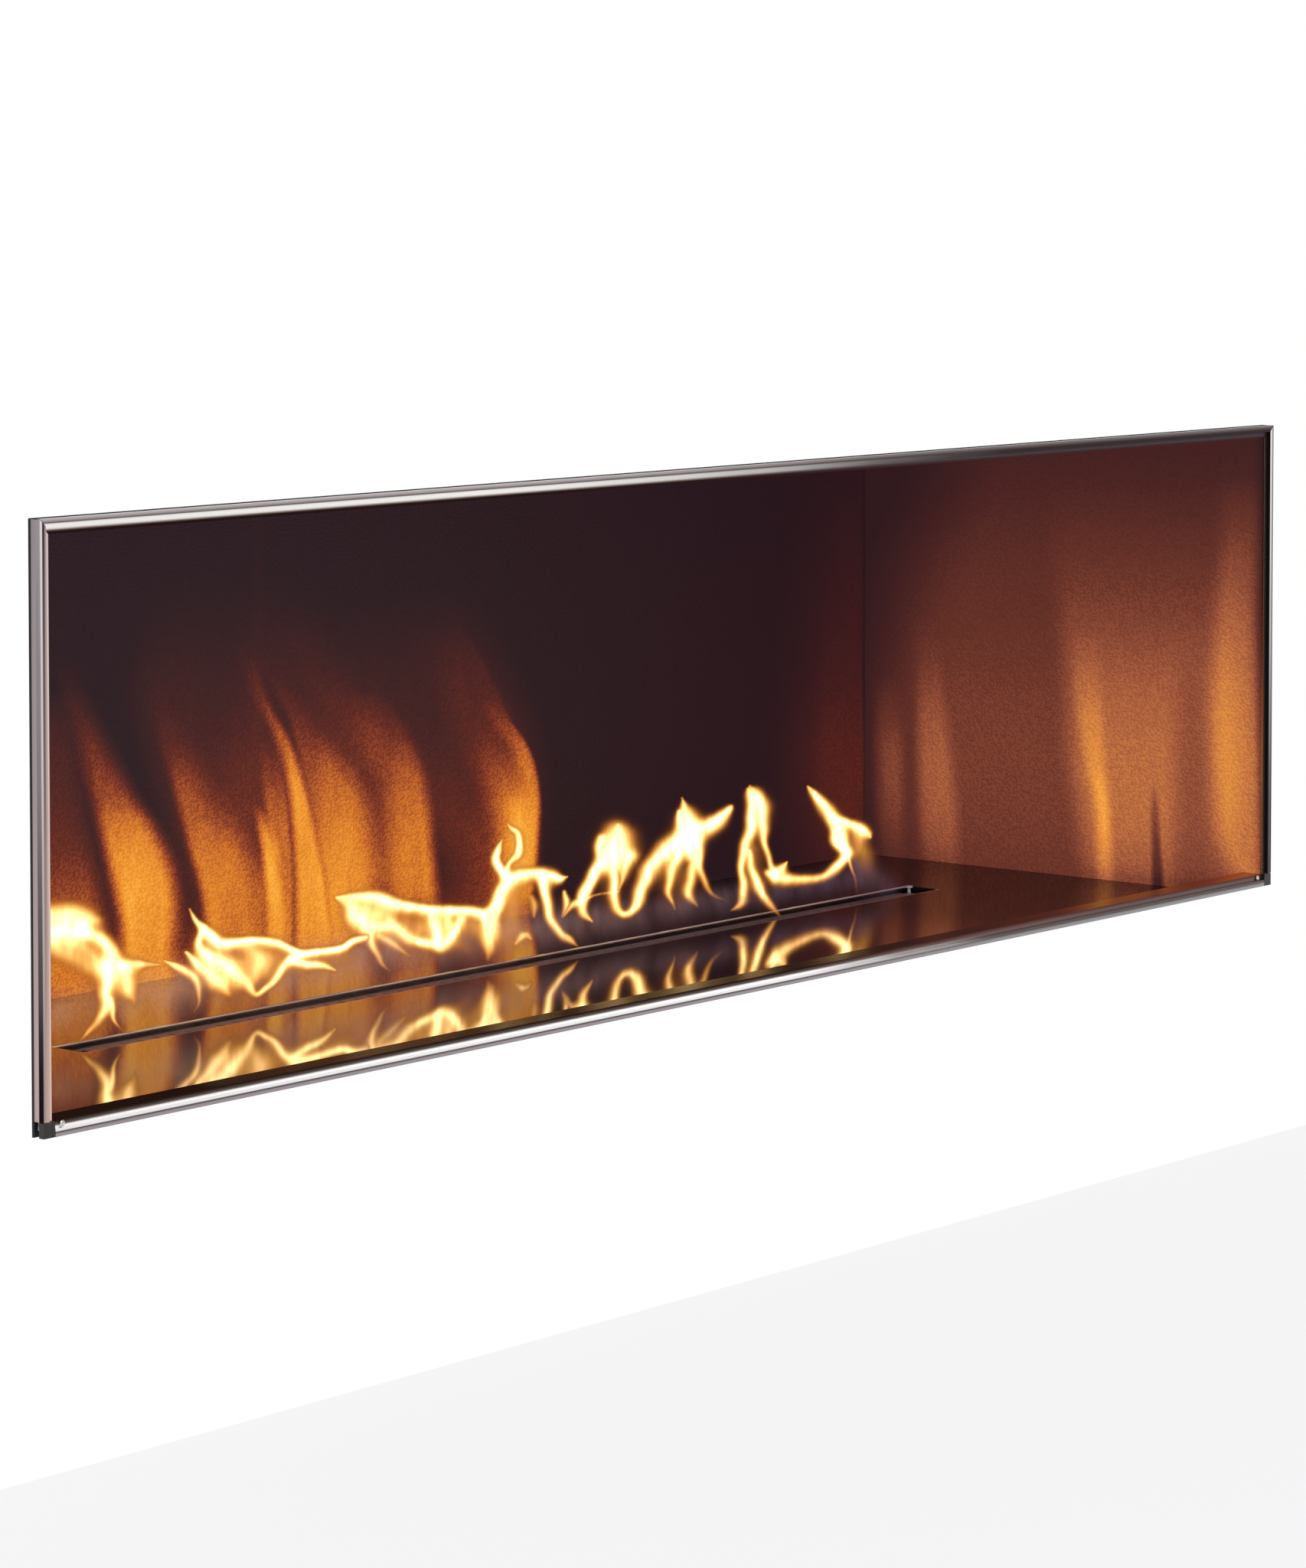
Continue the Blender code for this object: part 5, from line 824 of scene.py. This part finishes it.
# %% [markdown]
# ## Burner steel
# The burner rail lies in the slot. It is heat-darkened stainless with fine lines along it.

# %% Heat-darkened burner steel
burner = Finish("burner_dark_steel")
lines = burner.noise(burner.stretched((4.0, 1500.0, 1500.0)), 1.0, 3.0)
heat = burner.noise(burner.place, 11.0, 3.0)
burner_colour = burner.ramp(lines, [(0.3, "8a767d"), (0.7, "ae9ba4")])
heat = burner.ranged(heat, 0.4, 0.7, 0.0, 0.5)
burner_colour = burner.blend(heat, burner_colour, tone("7b5c55"))
burner.set(Base_Color=burner_colour, Metallic=0.4)
burner.set(Roughness=burner.spread(lines, 0.3, 0.5))
burner.set(Normal=burner.relief(lines, 0.05 * MILLIMETRE, 0.4))
dress(burner, "burner_trough", "burner_saddle_left", "burner_saddle_right", "burner_body",
      "burner_top", "burner_cap_left", "burner_cap_right", "pilot_bracket", "thermocouple")

# %% [markdown]
# ## Galvanised sheet
# The casing is hot-dip galvanised steel. Its zinc froze in flat crystals of a few millimetres to
# centimetres, each with its own grey and gloss, which a cell pattern gives, with soft white stains.

# %% Galvanised sheet
def galvanised(name, spangle):
    """Zinc crystals, given as how many fit in a metre, with soft white stains."""
    finish = Finish(name)
    bent = finish.noise(finish.place, 30.0, 2.0)
    bent = finish.ramp(bent, [(0.2, "000000"), (0.8, "ffffff")])
    warped = finish.blend(0.06, finish.place, bent, "ADD")
    crystal = finish.cells(warped, spangle, output="Color")
    shade = finish.axes(crystal)[0]
    stains = finish.noise(finish.place, 9.0, 4.0)
    colour = finish.ramp(shade, [(0.0, "8f9498"), (0.5, "a5a9ac"), (1.0, "bcc0c2")])
    colour = finish.blend(finish.ranged(stains, 0.45, 0.75, 0.0, 0.45), colour, tone("b4b6b4"))
    finish.set(Base_Color=colour, Metallic=0.85)
    finish.set(Roughness=finish.ranged(shade, 0.0, 1.0, 0.3, 0.55))
    finish.set(Normal=finish.relief(shade, 0.05 * MILLIMETRE, 0.25))
    return finish


GALVANISED_SHEET = (
    "front_frame", "nailing_flange_left", "nailing_flange_right", "casing_left", "casing_right",
    "casing_back", "casing_top", "base_pan", "standoff_front_left", "standoff_front_right",
    "standoff_back_left", "standoff_back_right", "heat_shield",
)
GALVANISED_SMALL = (
    "rear_spacer_left", "rear_spacer_right", "trough_leg_left", "trough_leg_right",
    "control_bracket", "inlet_pipe",
)
dress(galvanised("galvanised_sheet", 55.0), *GALVANISED_SHEET)
dress(galvanised("galvanised_small", 110.0), *GALVANISED_SMALL)

# %% [markdown]
# ## Small parts
# Black parts are powder coat, moulded plastic and rubber with a fine texture. Brass fittings are
# lightly tarnished, the gas valve and the venturi are sand-cast aluminium, and the pilot's hood is
# bare steel painted near white, a painted highlight.

# %% Small parts
def textured(name, dark, light, scale, roughness, depth, metallic=0.0):
    """A fine-grained coat or moulding: two tones, a relief and an uneven gloss."""
    finish = Finish(name)
    grain = finish.noise(finish.place, scale, 3.0)
    wear = finish.noise(finish.place, scale / 40, 3.0)
    share = finish.math("MULTIPLY", finish.math("ADD", grain, wear), 0.5)
    finish.set(Base_Color=finish.ramp(share, [(0.35, dark), (0.65, light)]), Metallic=metallic)
    finish.set(Roughness=finish.spread(wear, roughness - 0.08, roughness + 0.08))
    finish.set(Normal=finish.relief(grain, depth * MILLIMETRE, 0.5))
    return finish


SMALL_PARTS = [
    ("black_corner", ("17110f", "2a2022", 900, 0.4, 0.1), ("trim_corner_left", "trim_corner_right")),
    ("black_gasket", ("0d0b0b", "1b1717", 700, 0.75, 0.2), ("trim_gasket",)),
    ("black_powder_coat", ("141414", "222222", 1200, 0.5, 0.15), ("runner_left", "runner_right")),
    ("tarnished_brass", ("9a7a35", "c9a658", 240, 0.32, 0.05, 1.0),
     ("drain_nipple", "air_shutter", "gas_jet", "pilot_tube", "shutoff_valve", "flex_connector")),
    ("cast_aluminium", ("8d8f91", "b6b8b9", 520, 0.5, 0.25, 0.9), ("venturi", "gas_valve")),
    # The pilot's hood: bare steel painted near white as a painted highlight.
    ("pilot_steel_highlight", ("e6dcd6", "fffaf5", 600, 0.35, 0.04, 0.2), ("pilot_hood",)),
    ("moulded_black", ("121212", "232323", 1500, 0.45, 0.08), ("control_knob", "igniter_body")),
    ("white_ceramic", ("d8d3c8", "efece4", 500, 0.3, 0.04), ("electrode",)),
    ("red_plastic", ("7e1611", "a5241b", 800, 0.42, 0.05), ("igniter_button", "ignition_lead")),
    ("yellow_plastic", ("b98a12", "dcae28", 800, 0.45, 0.06), ("shutoff_handle",)),
    ("black_rubber", ("0e0e0e", "1d1d1d", 600, 0.7, 0.15), ("pipe_grommet",)),
]
for name, look, pieces in SMALL_PARTS:
    dress(textured(name, *look), *pieces)

# %% [markdown]
# ## The flames
# Gas flames are thin curved sheets: bright where a sheet folds or is seen along its length, and
# clear amber between. Each fold is a stroke drawn over the photograph: a line with a width and a
# heat. A fine grid that fills the strokes' part of the picture is the start. Every corner of the
# grid gets the heat of all strokes near it, then moves to the place in the slot that its pixel
# looks at, a little nearer or farther in slow waves. Below a stroke the heat reaches farther than
# above it, and the sheet's foot is cooler. The cold squares are deleted, and so are those that
# would meet the burner or the deck. Then the sheet is given a small thickness.

# %% A sheet of flame
FLAME_PLANE = 0.0178
FLAME_WAVE = 6 * MILLIMETRE
WAVE_ALONG = 0.027
WAVE_ACROSS = (0.011, 0.045)
FLAME_THICKNESS = 0.4 * MILLIMETRE
FLAME_FLOOR = 0.1776
FOOT_HEIGHT = 26 * MILLIMETRE
FOOT_HEAT = 0.55
GRID_STEP = 1.5
SPAN_STEPS = 16
STROKE_REACH = 2.6
SOFTNESS = 1.1
FADE = 1.9
ABOVE = 1.12
BELOW = 0.8
COLD = 0.02
DECK_CLEARANCE = 0.5 * MILLIMETRE
SWAY = 0.8
SWAY_ACROSS = 0.17
SWAY_DOWN = 0.19


def smooth_line(points, steps):
    """A rounded line through the points, each a tuple of numbers."""
    knots = np.array(points, float)
    ends = np.vstack([2 * knots[0] - knots[1], knots, 2 * knots[-1] - knots[-2]])
    made = []
    for k in range(len(knots) - 1):
        a, b, c, d = ends[k : k + 4]
        for t in np.linspace(0, 1, steps, endpoint=False):
            made.append(0.5 * (2 * b + (c - a) * t + (2 * a - 5 * b + 4 * c - d) * t**2
                               + (3 * b - a - 3 * c + d) * t**3))
    made.append(knots[-1])
    return np.array(made)


def add_stroke(heat, columns, rows, points):
    """Adds a stroke's heat to the grid: full on its line, a third at its edge, then fading out."""
    own = np.zeros_like(heat)
    for column, row, half, power in smooth_line(points, SPAN_STEPS):
        half = max(half, GRID_STEP)
        reach = half * STROKE_REACH + 2 * SWAY
        first, last = np.searchsorted(columns, (column - reach, column + reach))
        top, bottom = np.searchsorted(rows, (row - reach, row + reach))
        across = columns[first:last][None, :] - column
        down = rows[top:bottom][:, None] - row
        down = np.where(down > 0, down * BELOW, down * ABOVE)
        sway = np.sin(SWAY_DOWN * rows[top:bottom])[:, None]
        sway = SWAY * (sway + np.sin(SWAY_ACROSS * columns[first:last])[None, :])
        away = np.hypot(across + sway, down) / half
        warm = power * np.exp(-SOFTNESS * away**FADE)
        part = own[top:bottom, first:last]
        np.maximum(part, warm, out=part)
    return 1 - (1 - heat) * (1 - np.clip(own, 0, 1))


def sheet_places(column, row, phase):
    """Places in the slot that pixels look at, a little nearer or farther in slow waves."""
    wave = np.sin(column * WAVE_ALONG + phase)
    wave = wave + np.sin(row * WAVE_ACROSS[1] + column * WAVE_ACROSS[0] + 2 * phase)
    plane = FLAME_PLANE + FLAME_WAVE * wave / 2
    seen = np.stack([(column - PHOTO_WIDTH / 2) / FOCAL_PIXELS, (AXIS_ROW - row) / FOCAL_PIXELS,
                     -np.ones_like(column)], axis=1)
    rays = seen @ np.array(CAMERA_AXES).T
    start = np.array(CAMERA_PLACE)
    return start + rays * ((plane - start[1]) / rays[:, 1])[:, None]


def delete_cold(mesh, places, warm):
    """Deletes the squares that are cold, and those that would meet the burner or the deck."""
    bpy.ops.object.mode_set(mode="EDIT")
    bpy.ops.mesh.select_mode(type="FACE")
    bpy.ops.object.mode_set(mode="OBJECT")
    corners = np.empty(4 * len(mesh.polygons), int)
    mesh.polygons.foreach_get("vertices", corners)
    corners = corners.reshape(-1, 4)
    beside = np.abs(places[corners, 0] - SLOT_MIDDLE).max(axis=1) > SLOT_HALF - DECK_CLEARANCE
    lowest = np.where(beside, DECK_TOP + DECK_CLEARANCE, FLAME_FLOOR)
    cold = (warm[corners].max(axis=1) < COLD) | (places[corners, 2].min(axis=1) < lowest)
    mesh.polygons.foreach_set("select", cold)
    bpy.ops.object.mode_set(mode="EDIT")
    bpy.ops.mesh.delete(type="FACE")


def flame_sheet(name, strokes, finish, phase):
    """A thin wavy sheet with the heat of its strokes, of (column, row, half width, heat)."""
    spots = np.array([point for points in strokes for point in points])
    pad = STROKE_REACH * spots[:, 2].max()
    columns = np.arange(spots[:, 0].min() - pad, spots[:, 0].max() + pad, GRID_STEP)
    rows = np.arange(spots[:, 1].min() - pad, spots[:, 1].max() + pad, GRID_STEP)
    heat = np.zeros((len(rows), len(columns)))
    for points in strokes:
        heat = add_stroke(heat, columns, rows, points)
    clear_selection()
    squares = (len(columns) - 1, len(rows) - 1)
    bpy.ops.mesh.primitive_grid_add(x_subdivisions=squares[0], y_subdivisions=squares[1], size=1)
    sheet = bpy.context.object
    sheet.name = name
    mesh = sheet.data
    flat = np.empty(3 * len(mesh.vertices))
    mesh.vertices.foreach_get("co", flat)
    flat = flat.reshape(-1, 3)
    across = np.rint((flat[:, 0] + 0.5) * squares[0]).astype(int)
    down = np.rint((0.5 - flat[:, 1]) * squares[1]).astype(int)
    column, row, warm = columns[across], rows[down], heat[down, across]
    places = sheet_places(column, row, phase)
    warm = warm * np.interp(places[:, 2] - FLAME_FLOOR, (0, FOOT_HEIGHT), (FOOT_HEAT, 1))
    mesh.vertices.foreach_set("co", places.ravel())
    mesh.attributes.new("sheet_heat", "FLOAT", "POINT").data.foreach_set("value", warm)
    mesh.update()
    delete_cold(mesh, places, warm)
    bpy.ops.mesh.select_all(action="SELECT")
    bpy.ops.mesh.normals_make_consistent(inside=False)
    bpy.ops.object.mode_set(mode="OBJECT")
    thicken = sheet.modifiers.new("thickness", "SOLIDIFY")
    thicken.thickness = FLAME_THICKNESS
    bpy.ops.object.modifier_apply(modifier=thicken.name)
    bpy.ops.object.shade_smooth()
    sheet.data.materials.append(finish.material)
    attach(sheet, "fireplace")
    print(name, "faces:", len(sheet.data.polygons))


print("a grid square is", GRID_STEP, "pixels, and squares below a heat of", COLD, "go")

# %% [markdown]
# ### The colour of a flame
# One number, the sheet's heat, gives both the colour and how solid the flame is. It runs from
# clear brown through orange and yellow to a pale core. A noise that is stretched upwards makes
# the fine streaks of rising gas. The strength lets the hottest parts clip to cream, as in the
# photograph, so that their weaker mirror image in the deck shows the amber.

# %% The colour of a flame
FLAME_STRENGTH = 3.4
FLAME_TONES = [
    (0.0, "2f1406"), (0.15, "532c0c"), (0.3, "6f4218"), (0.45, "875a27"), (0.6, "a4763c"), (0.75, "cb9a5c"),
    (0.88, "eec27c"), (1.0, "ffe39a"),
]
FLAME_SOLIDITY = [(0.0, 0.0), (0.1, 0.06), (0.3, 0.32), (0.5, 0.62), (0.8, 0.84), (1.0, 0.9)]

flame = Finish("gas_flame")
streaks = flame.noise(flame.stretched((110.0, 110.0, 26.0)), 1.0, 2.0)
streaks = flame.ranged(streaks, 0.25, 0.75, 0.84, 1.12)
warmth = flame.math("MULTIPLY", flame.attribute("sheet_heat"), streaks, clamp=True)
flame.set(Base_Color=tone("000000"), Roughness=1.0, Specular_IOR_Level=0.0)
flame.set(Emission_Color=flame.ramp(warmth, FLAME_TONES))
flame.set(Emission_Strength=FLAME_STRENGTH)
flame.set(Alpha=flame.curve(warmth, FLAME_SOLIDITY))
print("flame tones:", len(FLAME_TONES))

# %% [markdown]
# ### The lines of the fire
# Each list follows one fold from end to end, in pixels of the photograph: column, row, half the
# width, and heat. The fire is lowest and widest at the near end and breaks into tall tongues
# towards the far end.

# %% The near end of the fire
NEAR_FIRE = [
    [(56, 1197, 10, 0.7), (78, 1194, 17, 0.72), (105, 1196, 18, 0.7), (126, 1202, 10, 0.6)],
    [(56, 1215, 9, 1.0), (88, 1215, 10, 1.0), (118, 1219, 10, 1.0), (137, 1232, 12, 1.0),
     (144, 1249, 15, 1.0), (140, 1276, 12, 1.0), (138, 1298, 10, 0.95), (137, 1314, 9, 0.9),
     (128, 1334, 5.5, 0.8), (113, 1349, 4, 0.7), (102, 1361, 1, 0.5)],
    [(143, 1305, 5, 0.8), (146, 1320, 5, 0.8), (150, 1333, 3.5, 0.7), (160, 1346, 1, 0.4)],
    [(138, 1261, 8, 0.9), (161, 1261, 11, 0.85), (181, 1259, 7, 0.8), (209, 1260, 1.5, 0.6)],
    [(152, 1270, 12, 0.5), (164, 1286, 11, 0.5), (172, 1301, 6, 0.4), (174, 1314, 1, 0.3)],
    [(66, 1228, 10, 0.5), (96, 1232, 14, 0.55), (120, 1247, 13, 0.6), (134, 1268, 8, 0.6)],
    [(56, 1203, 24, 0.8), (86, 1205, 22, 0.82), (110, 1209, 14, 0.8)],
    [(62, 1240, 12, 0.34), (88, 1246, 14, 0.36), (112, 1262, 12, 0.32)],
    [(168, 1270, 16, 0.42), (168, 1290, 12, 0.36)],
    [(246, 1187, 0.8, 0.6), (258, 1205, 5, 0.95), (273, 1220, 9, 1.0), (287, 1231, 10, 1.0),
     (307, 1231, 8, 1.0), (331, 1228, 6.5, 1.0), (360, 1231, 7, 1.0), (379, 1239, 6, 1.0),
     (392, 1245, 4, 0.9)],
    [(265, 1212, 6, 0.95), (260, 1232, 7, 0.95), (268, 1246, 10, 0.95), (285, 1256, 12, 0.95),
     (304, 1266, 12, 0.9), (321, 1284, 8, 0.85), (335, 1298, 4.5, 0.9), (348, 1290, 4.5, 0.95),
     (360, 1276, 5, 1.0), (375, 1257, 6, 1.0), (389, 1247, 6.5, 1.0), (404, 1244, 6, 1.0),
     (429, 1241, 5.5, 1.0), (449, 1237, 5, 1.0), (463, 1228, 5.5, 1.0), (478, 1224, 5, 0.9)],
    [(213, 1255, 1.5, 0.7), (234, 1263, 6, 0.9), (251, 1275, 7, 0.85), (259, 1290, 5, 0.75),
     (260, 1307, 3, 0.6), (252, 1322, 0.8, 0.3)],
    [(242, 1244, 2.5, 0.8), (253, 1256, 6, 0.9), (268, 1268, 10, 0.85), (282, 1280, 11, 0.75),
     (299, 1297, 5, 0.5)],
    [(322, 1238, 11, 0.5), (340, 1252, 16, 0.55), (332, 1274, 11, 0.45)],
    [(379, 1253, 5, 0.8), (399, 1259, 5, 0.9), (420, 1260, 4.5, 0.9), (438, 1267, 1.5, 0.6)],
]
print("strokes near the camera:", len(NEAR_FIRE))

# %% The middle of the fire
MIDDLE_FIRE = [
    [(438, 1172, 2, 0.6), (456, 1181, 11, 0.85), (466, 1195, 14, 0.9), (478, 1210, 13, 0.85),
     (485, 1227, 8, 0.8), (492, 1244, 5, 0.75), (499, 1258, 3.2, 0.6), (510, 1269, 0.8, 0.3)],
    [(441, 1172, 3, 0.7), (468, 1171, 8, 0.95), (492, 1172, 11, 0.98), (511, 1179, 11, 1.0),
     (536, 1184, 8, 1.0), (565, 1188, 7.5, 1.0), (594, 1189, 7.5, 1.0), (618, 1190, 7.5, 1.0),
     (636, 1197, 8, 1.0), (639, 1215, 11, 1.0), (640, 1234, 9, 0.85), (638, 1252, 4, 0.4)],
    [(480, 1190, 16, 0.55), (500, 1197, 16, 0.55), (512, 1202, 8, 0.5)],
    [(488, 1211, 6, 0.8), (514, 1210, 7, 0.8), (531, 1222, 7.5, 0.85), (546, 1229, 6, 0.85),
     (565, 1232, 7.5, 0.95), (580, 1233, 7.5, 0.95), (594, 1217, 6, 0.9), (604, 1200, 5, 0.85)],
    [(565, 1195, 6, 0.8), (569, 1212, 9, 0.95), (575, 1233, 7, 0.9)],
    [(580, 1198, 11, 0.5), (589, 1212, 9, 0.5), (592, 1224, 3, 0.4)],
    [(495, 1222, 3.5, 0.5), (516, 1234, 4.8, 0.6), (535, 1249, 1.5, 0.3)],
    [(635, 1197, 8, 1.0), (647, 1181, 8, 1.0), (657, 1162, 8.5, 1.0), (662, 1148, 9, 1.0),
     (652, 1132, 6.5, 1.0), (647, 1120, 6, 0.95), (651, 1108, 4.5, 0.85), (657, 1095, 1, 0.5)],
    [(662, 1140, 4, 0.8), (667, 1126, 4.5, 0.85), (676, 1116, 6.5, 0.95), (680, 1101, 5.5, 0.95),
     (676, 1087, 5, 0.9), (667, 1081, 3.5, 0.8), (661, 1073, 0.8, 0.5)],
    [(660, 1149, 7, 1.0), (679, 1143, 10, 1.0), (698, 1140, 9, 1.0), (717, 1143, 10, 1.0),
     (730, 1147, 6, 0.95), (741, 1145, 0.8, 0.6)],
    [(708, 1147, 8, 1.0), (713, 1164, 7.5, 1.0), (716, 1186, 6.5, 0.95), (722, 1205, 6.5, 0.95),
     (732, 1219, 6, 0.9), (746, 1227, 5, 0.85), (756, 1236, 1, 0.5)],
    [(669, 1156, 19, 0.42), (669, 1186, 20, 0.42), (667, 1217, 19, 0.4), (664, 1247, 12, 0.3)],
    [(676, 1232, 2.5, 0.6), (685, 1221, 5.5, 0.75), (694, 1226, 2, 0.6)],
    [(694, 1172, 5, 0.45), (697, 1183, 7, 0.5), (698, 1196, 3, 0.4)],
    [(738, 1165, 3, 0.7), (740, 1180, 6, 0.8), (735, 1197, 2, 0.5)],
    [(655, 1160, 5, 0.9), (650, 1185, 6, 0.95), (645, 1205, 7, 0.9)],
]
print("strokes in the middle:", len(MIDDLE_FIRE))

# %% The far end of the fire
FAR_FIRE = [
    [(736, 1197, 1.5, 0.5), (747, 1182, 4.5, 0.7), (758, 1176, 6, 0.85), (766, 1161, 7.5, 0.95),
     (775, 1141, 8, 1.0), (789, 1124, 10, 1.0), (801, 1108, 14, 1.0)],
    [(806, 1076, 2, 0.8), (806, 1088, 17, 1.0), (807, 1105, 23, 1.0), (804, 1122, 17, 0.95),
     (801, 1137, 8, 0.85), (802, 1158, 6.5, 0.85), (803, 1182, 6.5, 0.8), (813, 1193, 5, 0.85),
     (825, 1190, 6, 0.9), (834, 1173, 8, 0.95), (840, 1152, 10, 0.98), (851, 1130, 12, 1.0),
     (866, 1114, 12.5, 1.0), (881, 1102, 13, 1.0), (897, 1092, 14, 1.0)],
    [(775, 1141, 6, 0.9), (766, 1158, 7, 0.9), (760, 1176, 6, 0.85), (761, 1191, 6, 0.85),
     (773, 1203, 2, 0.7)],
    [(786, 1095, 6, 0.9), (783, 1110, 7, 0.95), (789, 1123, 9, 0.95)],
    [(822, 1118, 9, 0.85), (814, 1142, 4.5, 0.7), (809, 1160, 1, 0.4)],
    [(891, 1042, 0.8, 0.6), (894, 1055, 7, 0.9), (899, 1072, 15, 1.0), (899, 1092, 17, 1.0),
     (901, 1110, 11, 0.95), (907, 1125, 7.5, 0.85), (902, 1147, 6.5, 0.75), (900, 1167, 6.5, 0.75),
     (909, 1183, 1.5, 0.4)],
    [(887, 1060, 3, 0.8), (889, 1075, 6, 0.95), (892, 1090, 9, 1.0)],
    [(903, 1082, 12, 1.0), (922, 1079, 12, 1.0), (939, 1070, 9.5, 1.0), (951, 1057, 6, 0.9),
     (954, 1052, 1.5, 0.6)],
    [(893, 1098, 9, 0.95), (881, 1126, 7, 0.85), (874, 1147, 5.5, 0.75), (873, 1167, 4, 0.65),
     (880, 1187, 1, 0.4)],
    [(911, 1098, 8, 0.9), (913, 1129, 5.5, 0.75), (919, 1150, 5, 0.6), (931, 1167, 3.5, 0.45),
     (949, 1177, 0.8, 0.2)],
    [(979, 1026, 1, 0.6), (988, 1040, 11, 0.95), (994, 1058, 13, 0.98), (995, 1078, 10, 0.9),
     (999, 1102, 5.5, 0.75), (1006, 1125, 4, 0.7), (1012, 1140, 5, 0.7)],
    [(978, 1030, 2, 0.7), (981, 1044, 6, 0.95), (982, 1067, 7, 1.0), (978, 1091, 7.5, 1.0),
     (971, 1114, 7, 0.95), (969, 1138, 5.5, 0.9), (972, 1163, 6.5, 0.85), (968, 1179, 6, 0.85),
     (954, 1189, 1.2, 0.5)],
    [(978, 1112, 3, 0.85), (983, 1140, 5.5, 0.9), (992, 1161, 6.5, 0.95), (1004, 1179, 5.5, 0.9),
     (1019, 1196, 1, 0.5)],
    [(1003, 1140, 5, 0.7), (1018, 1146, 9, 0.85), (1048, 1148, 7, 0.8), (1077, 1144, 6, 0.8),
     (1095, 1129, 7, 0.9), (1106, 1113, 7, 0.98)],
    [(1012, 1141, 7, 0.8), (1020, 1135, 7, 0.9), (1027, 1126, 1.5, 0.7)],
    [(1055, 1027, 1.5, 0.7), (1068, 1043, 8, 1.0), (1083, 1061, 9.5, 1.0), (1092, 1077, 10, 1.0),
     (1098, 1092, 10, 1.0), (1104, 1110, 8, 1.0)],
    [(1090, 1083, 5, 0.95), (1092, 1099, 6, 0.95), (1100, 1109, 5, 0.9)],
    [(1090, 1070, 7, 1.0), (1113, 1077, 7, 0.98), (1130, 1087, 5.5, 0.9), (1136, 1093, 2, 0.7)],
    [(1122, 1084, 12, 0.6), (1124, 1108, 15, 0.42), (1132, 1133, 19, 0.24), (1142, 1158, 20, 0.1)],
    [(1104, 1112, 2, 0.7), (1114, 1137, 2, 0.5), (1121, 1166, 0.8, 0.2)],
    [(757, 1177, 1.2, 0.4), (778, 1169, 1.5, 0.4), (808, 1164, 0.8, 0.3)],
]
print("strokes at the far end:", len(FAR_FIRE))

# %% [markdown]
# ### The clear gas between the folds
# Between the bright folds the sheets are thin and show as brown and amber veils, and near the
# slot the gas burns violet, which a fourth sheet shows. These are wide strokes with little heat.

# %% The veils
NEAR_VEILS = [
    [(80, 1244, 10, 0.16), (112, 1262, 14, 0.2), (150, 1282, 22, 0.26), (175, 1300, 10, 0.16)],
    [(262, 1246, 14, 0.44), (300, 1262, 22, 0.48), (345, 1256, 22, 0.44), (395, 1258, 15, 0.32),
     (450, 1250, 14, 0.26)],
    [(280, 1280, 14, 0.34), (306, 1288, 12, 0.32)],
]
MIDDLE_VEILS = [
    [(470, 1200, 20, 0.42), (510, 1212, 24, 0.46), (560, 1212, 24, 0.46), (610, 1208, 18, 0.42),
     (640, 1220, 16, 0.34)],
    [(590, 1226, 14, 0.34), (610, 1240, 12, 0.24)],
]
FAR_VEILS = [
    [(800, 1120, 16, 0.3), (800, 1150, 20, 0.24), (800, 1180, 16, 0.16)],
    [(880, 1110, 20, 0.34), (880, 1140, 26, 0.28), (885, 1168, 28, 0.16)],
    [(985, 1110, 12, 0.26), (990, 1140, 16, 0.2), (995, 1170, 16, 0.12)],
]

VIOLET_GAS = [
    [(60, 1326, 20, 0.6), (140, 1310, 26, 0.8), (260, 1286, 28, 0.95), (400, 1262, 29, 1.0),
     (540, 1236, 27, 1.0), (660, 1218, 24, 0.95), (760, 1202, 20, 0.9), (880, 1184, 17, 0.9),
     (1000, 1164, 15, 0.8), (1090, 1150, 14, 0.8), (1150, 1148, 8, 0.5)],
    [(1112, 1120, 6, 0.5), (1130, 1140, 16, 0.9), (1152, 1156, 14, 0.7), (1170, 1164, 4, 0.3)],
]
GAS_SPAN = (-0.4, 0.5)
GAS_TONES = [(0.0, "d2a07c"), (0.4, "b98a7d"), (0.7, "806268"), (1.0, "6d5a78")]
GAS_SOLIDITY = 0.26

gas = Finish("violet_gas")
drift = gas.noise(gas.stretched((60.0, 60.0, 24.0)), 1.0, 3.0)
drift = gas.spread(drift, 0.4, 1.2)
gas_heat = gas.math("MULTIPLY", gas.attribute("sheet_heat"), drift)
gas_run = gas.ranged(gas.axes()[0], *GAS_SPAN)
gas.set(Base_Color=tone("000000"), Roughness=1.0, Specular_IOR_Level=0.0)
gas.set(Emission_Color=gas.ramp(gas_run, GAS_TONES), Emission_Strength=1.0)
gas.set(Alpha=gas.ranged(gas_heat, 0.0, 1.0, 0.0, GAS_SOLIDITY))

flame_sheet("near_fire", NEAR_FIRE + NEAR_VEILS, flame, 0.4)
flame_sheet("middle_fire", MIDDLE_FIRE + MIDDLE_VEILS, flame, 1.7)
flame_sheet("far_fire", FAR_FIRE + FAR_VEILS, flame, 3.1)
flame_sheet("violet_gas", VIOLET_GAS, gas, 4.4)

# %% [markdown]
# ## The last step
# The view layer is brought up to date.

# %% The last update
bpy.context.view_layer.update()
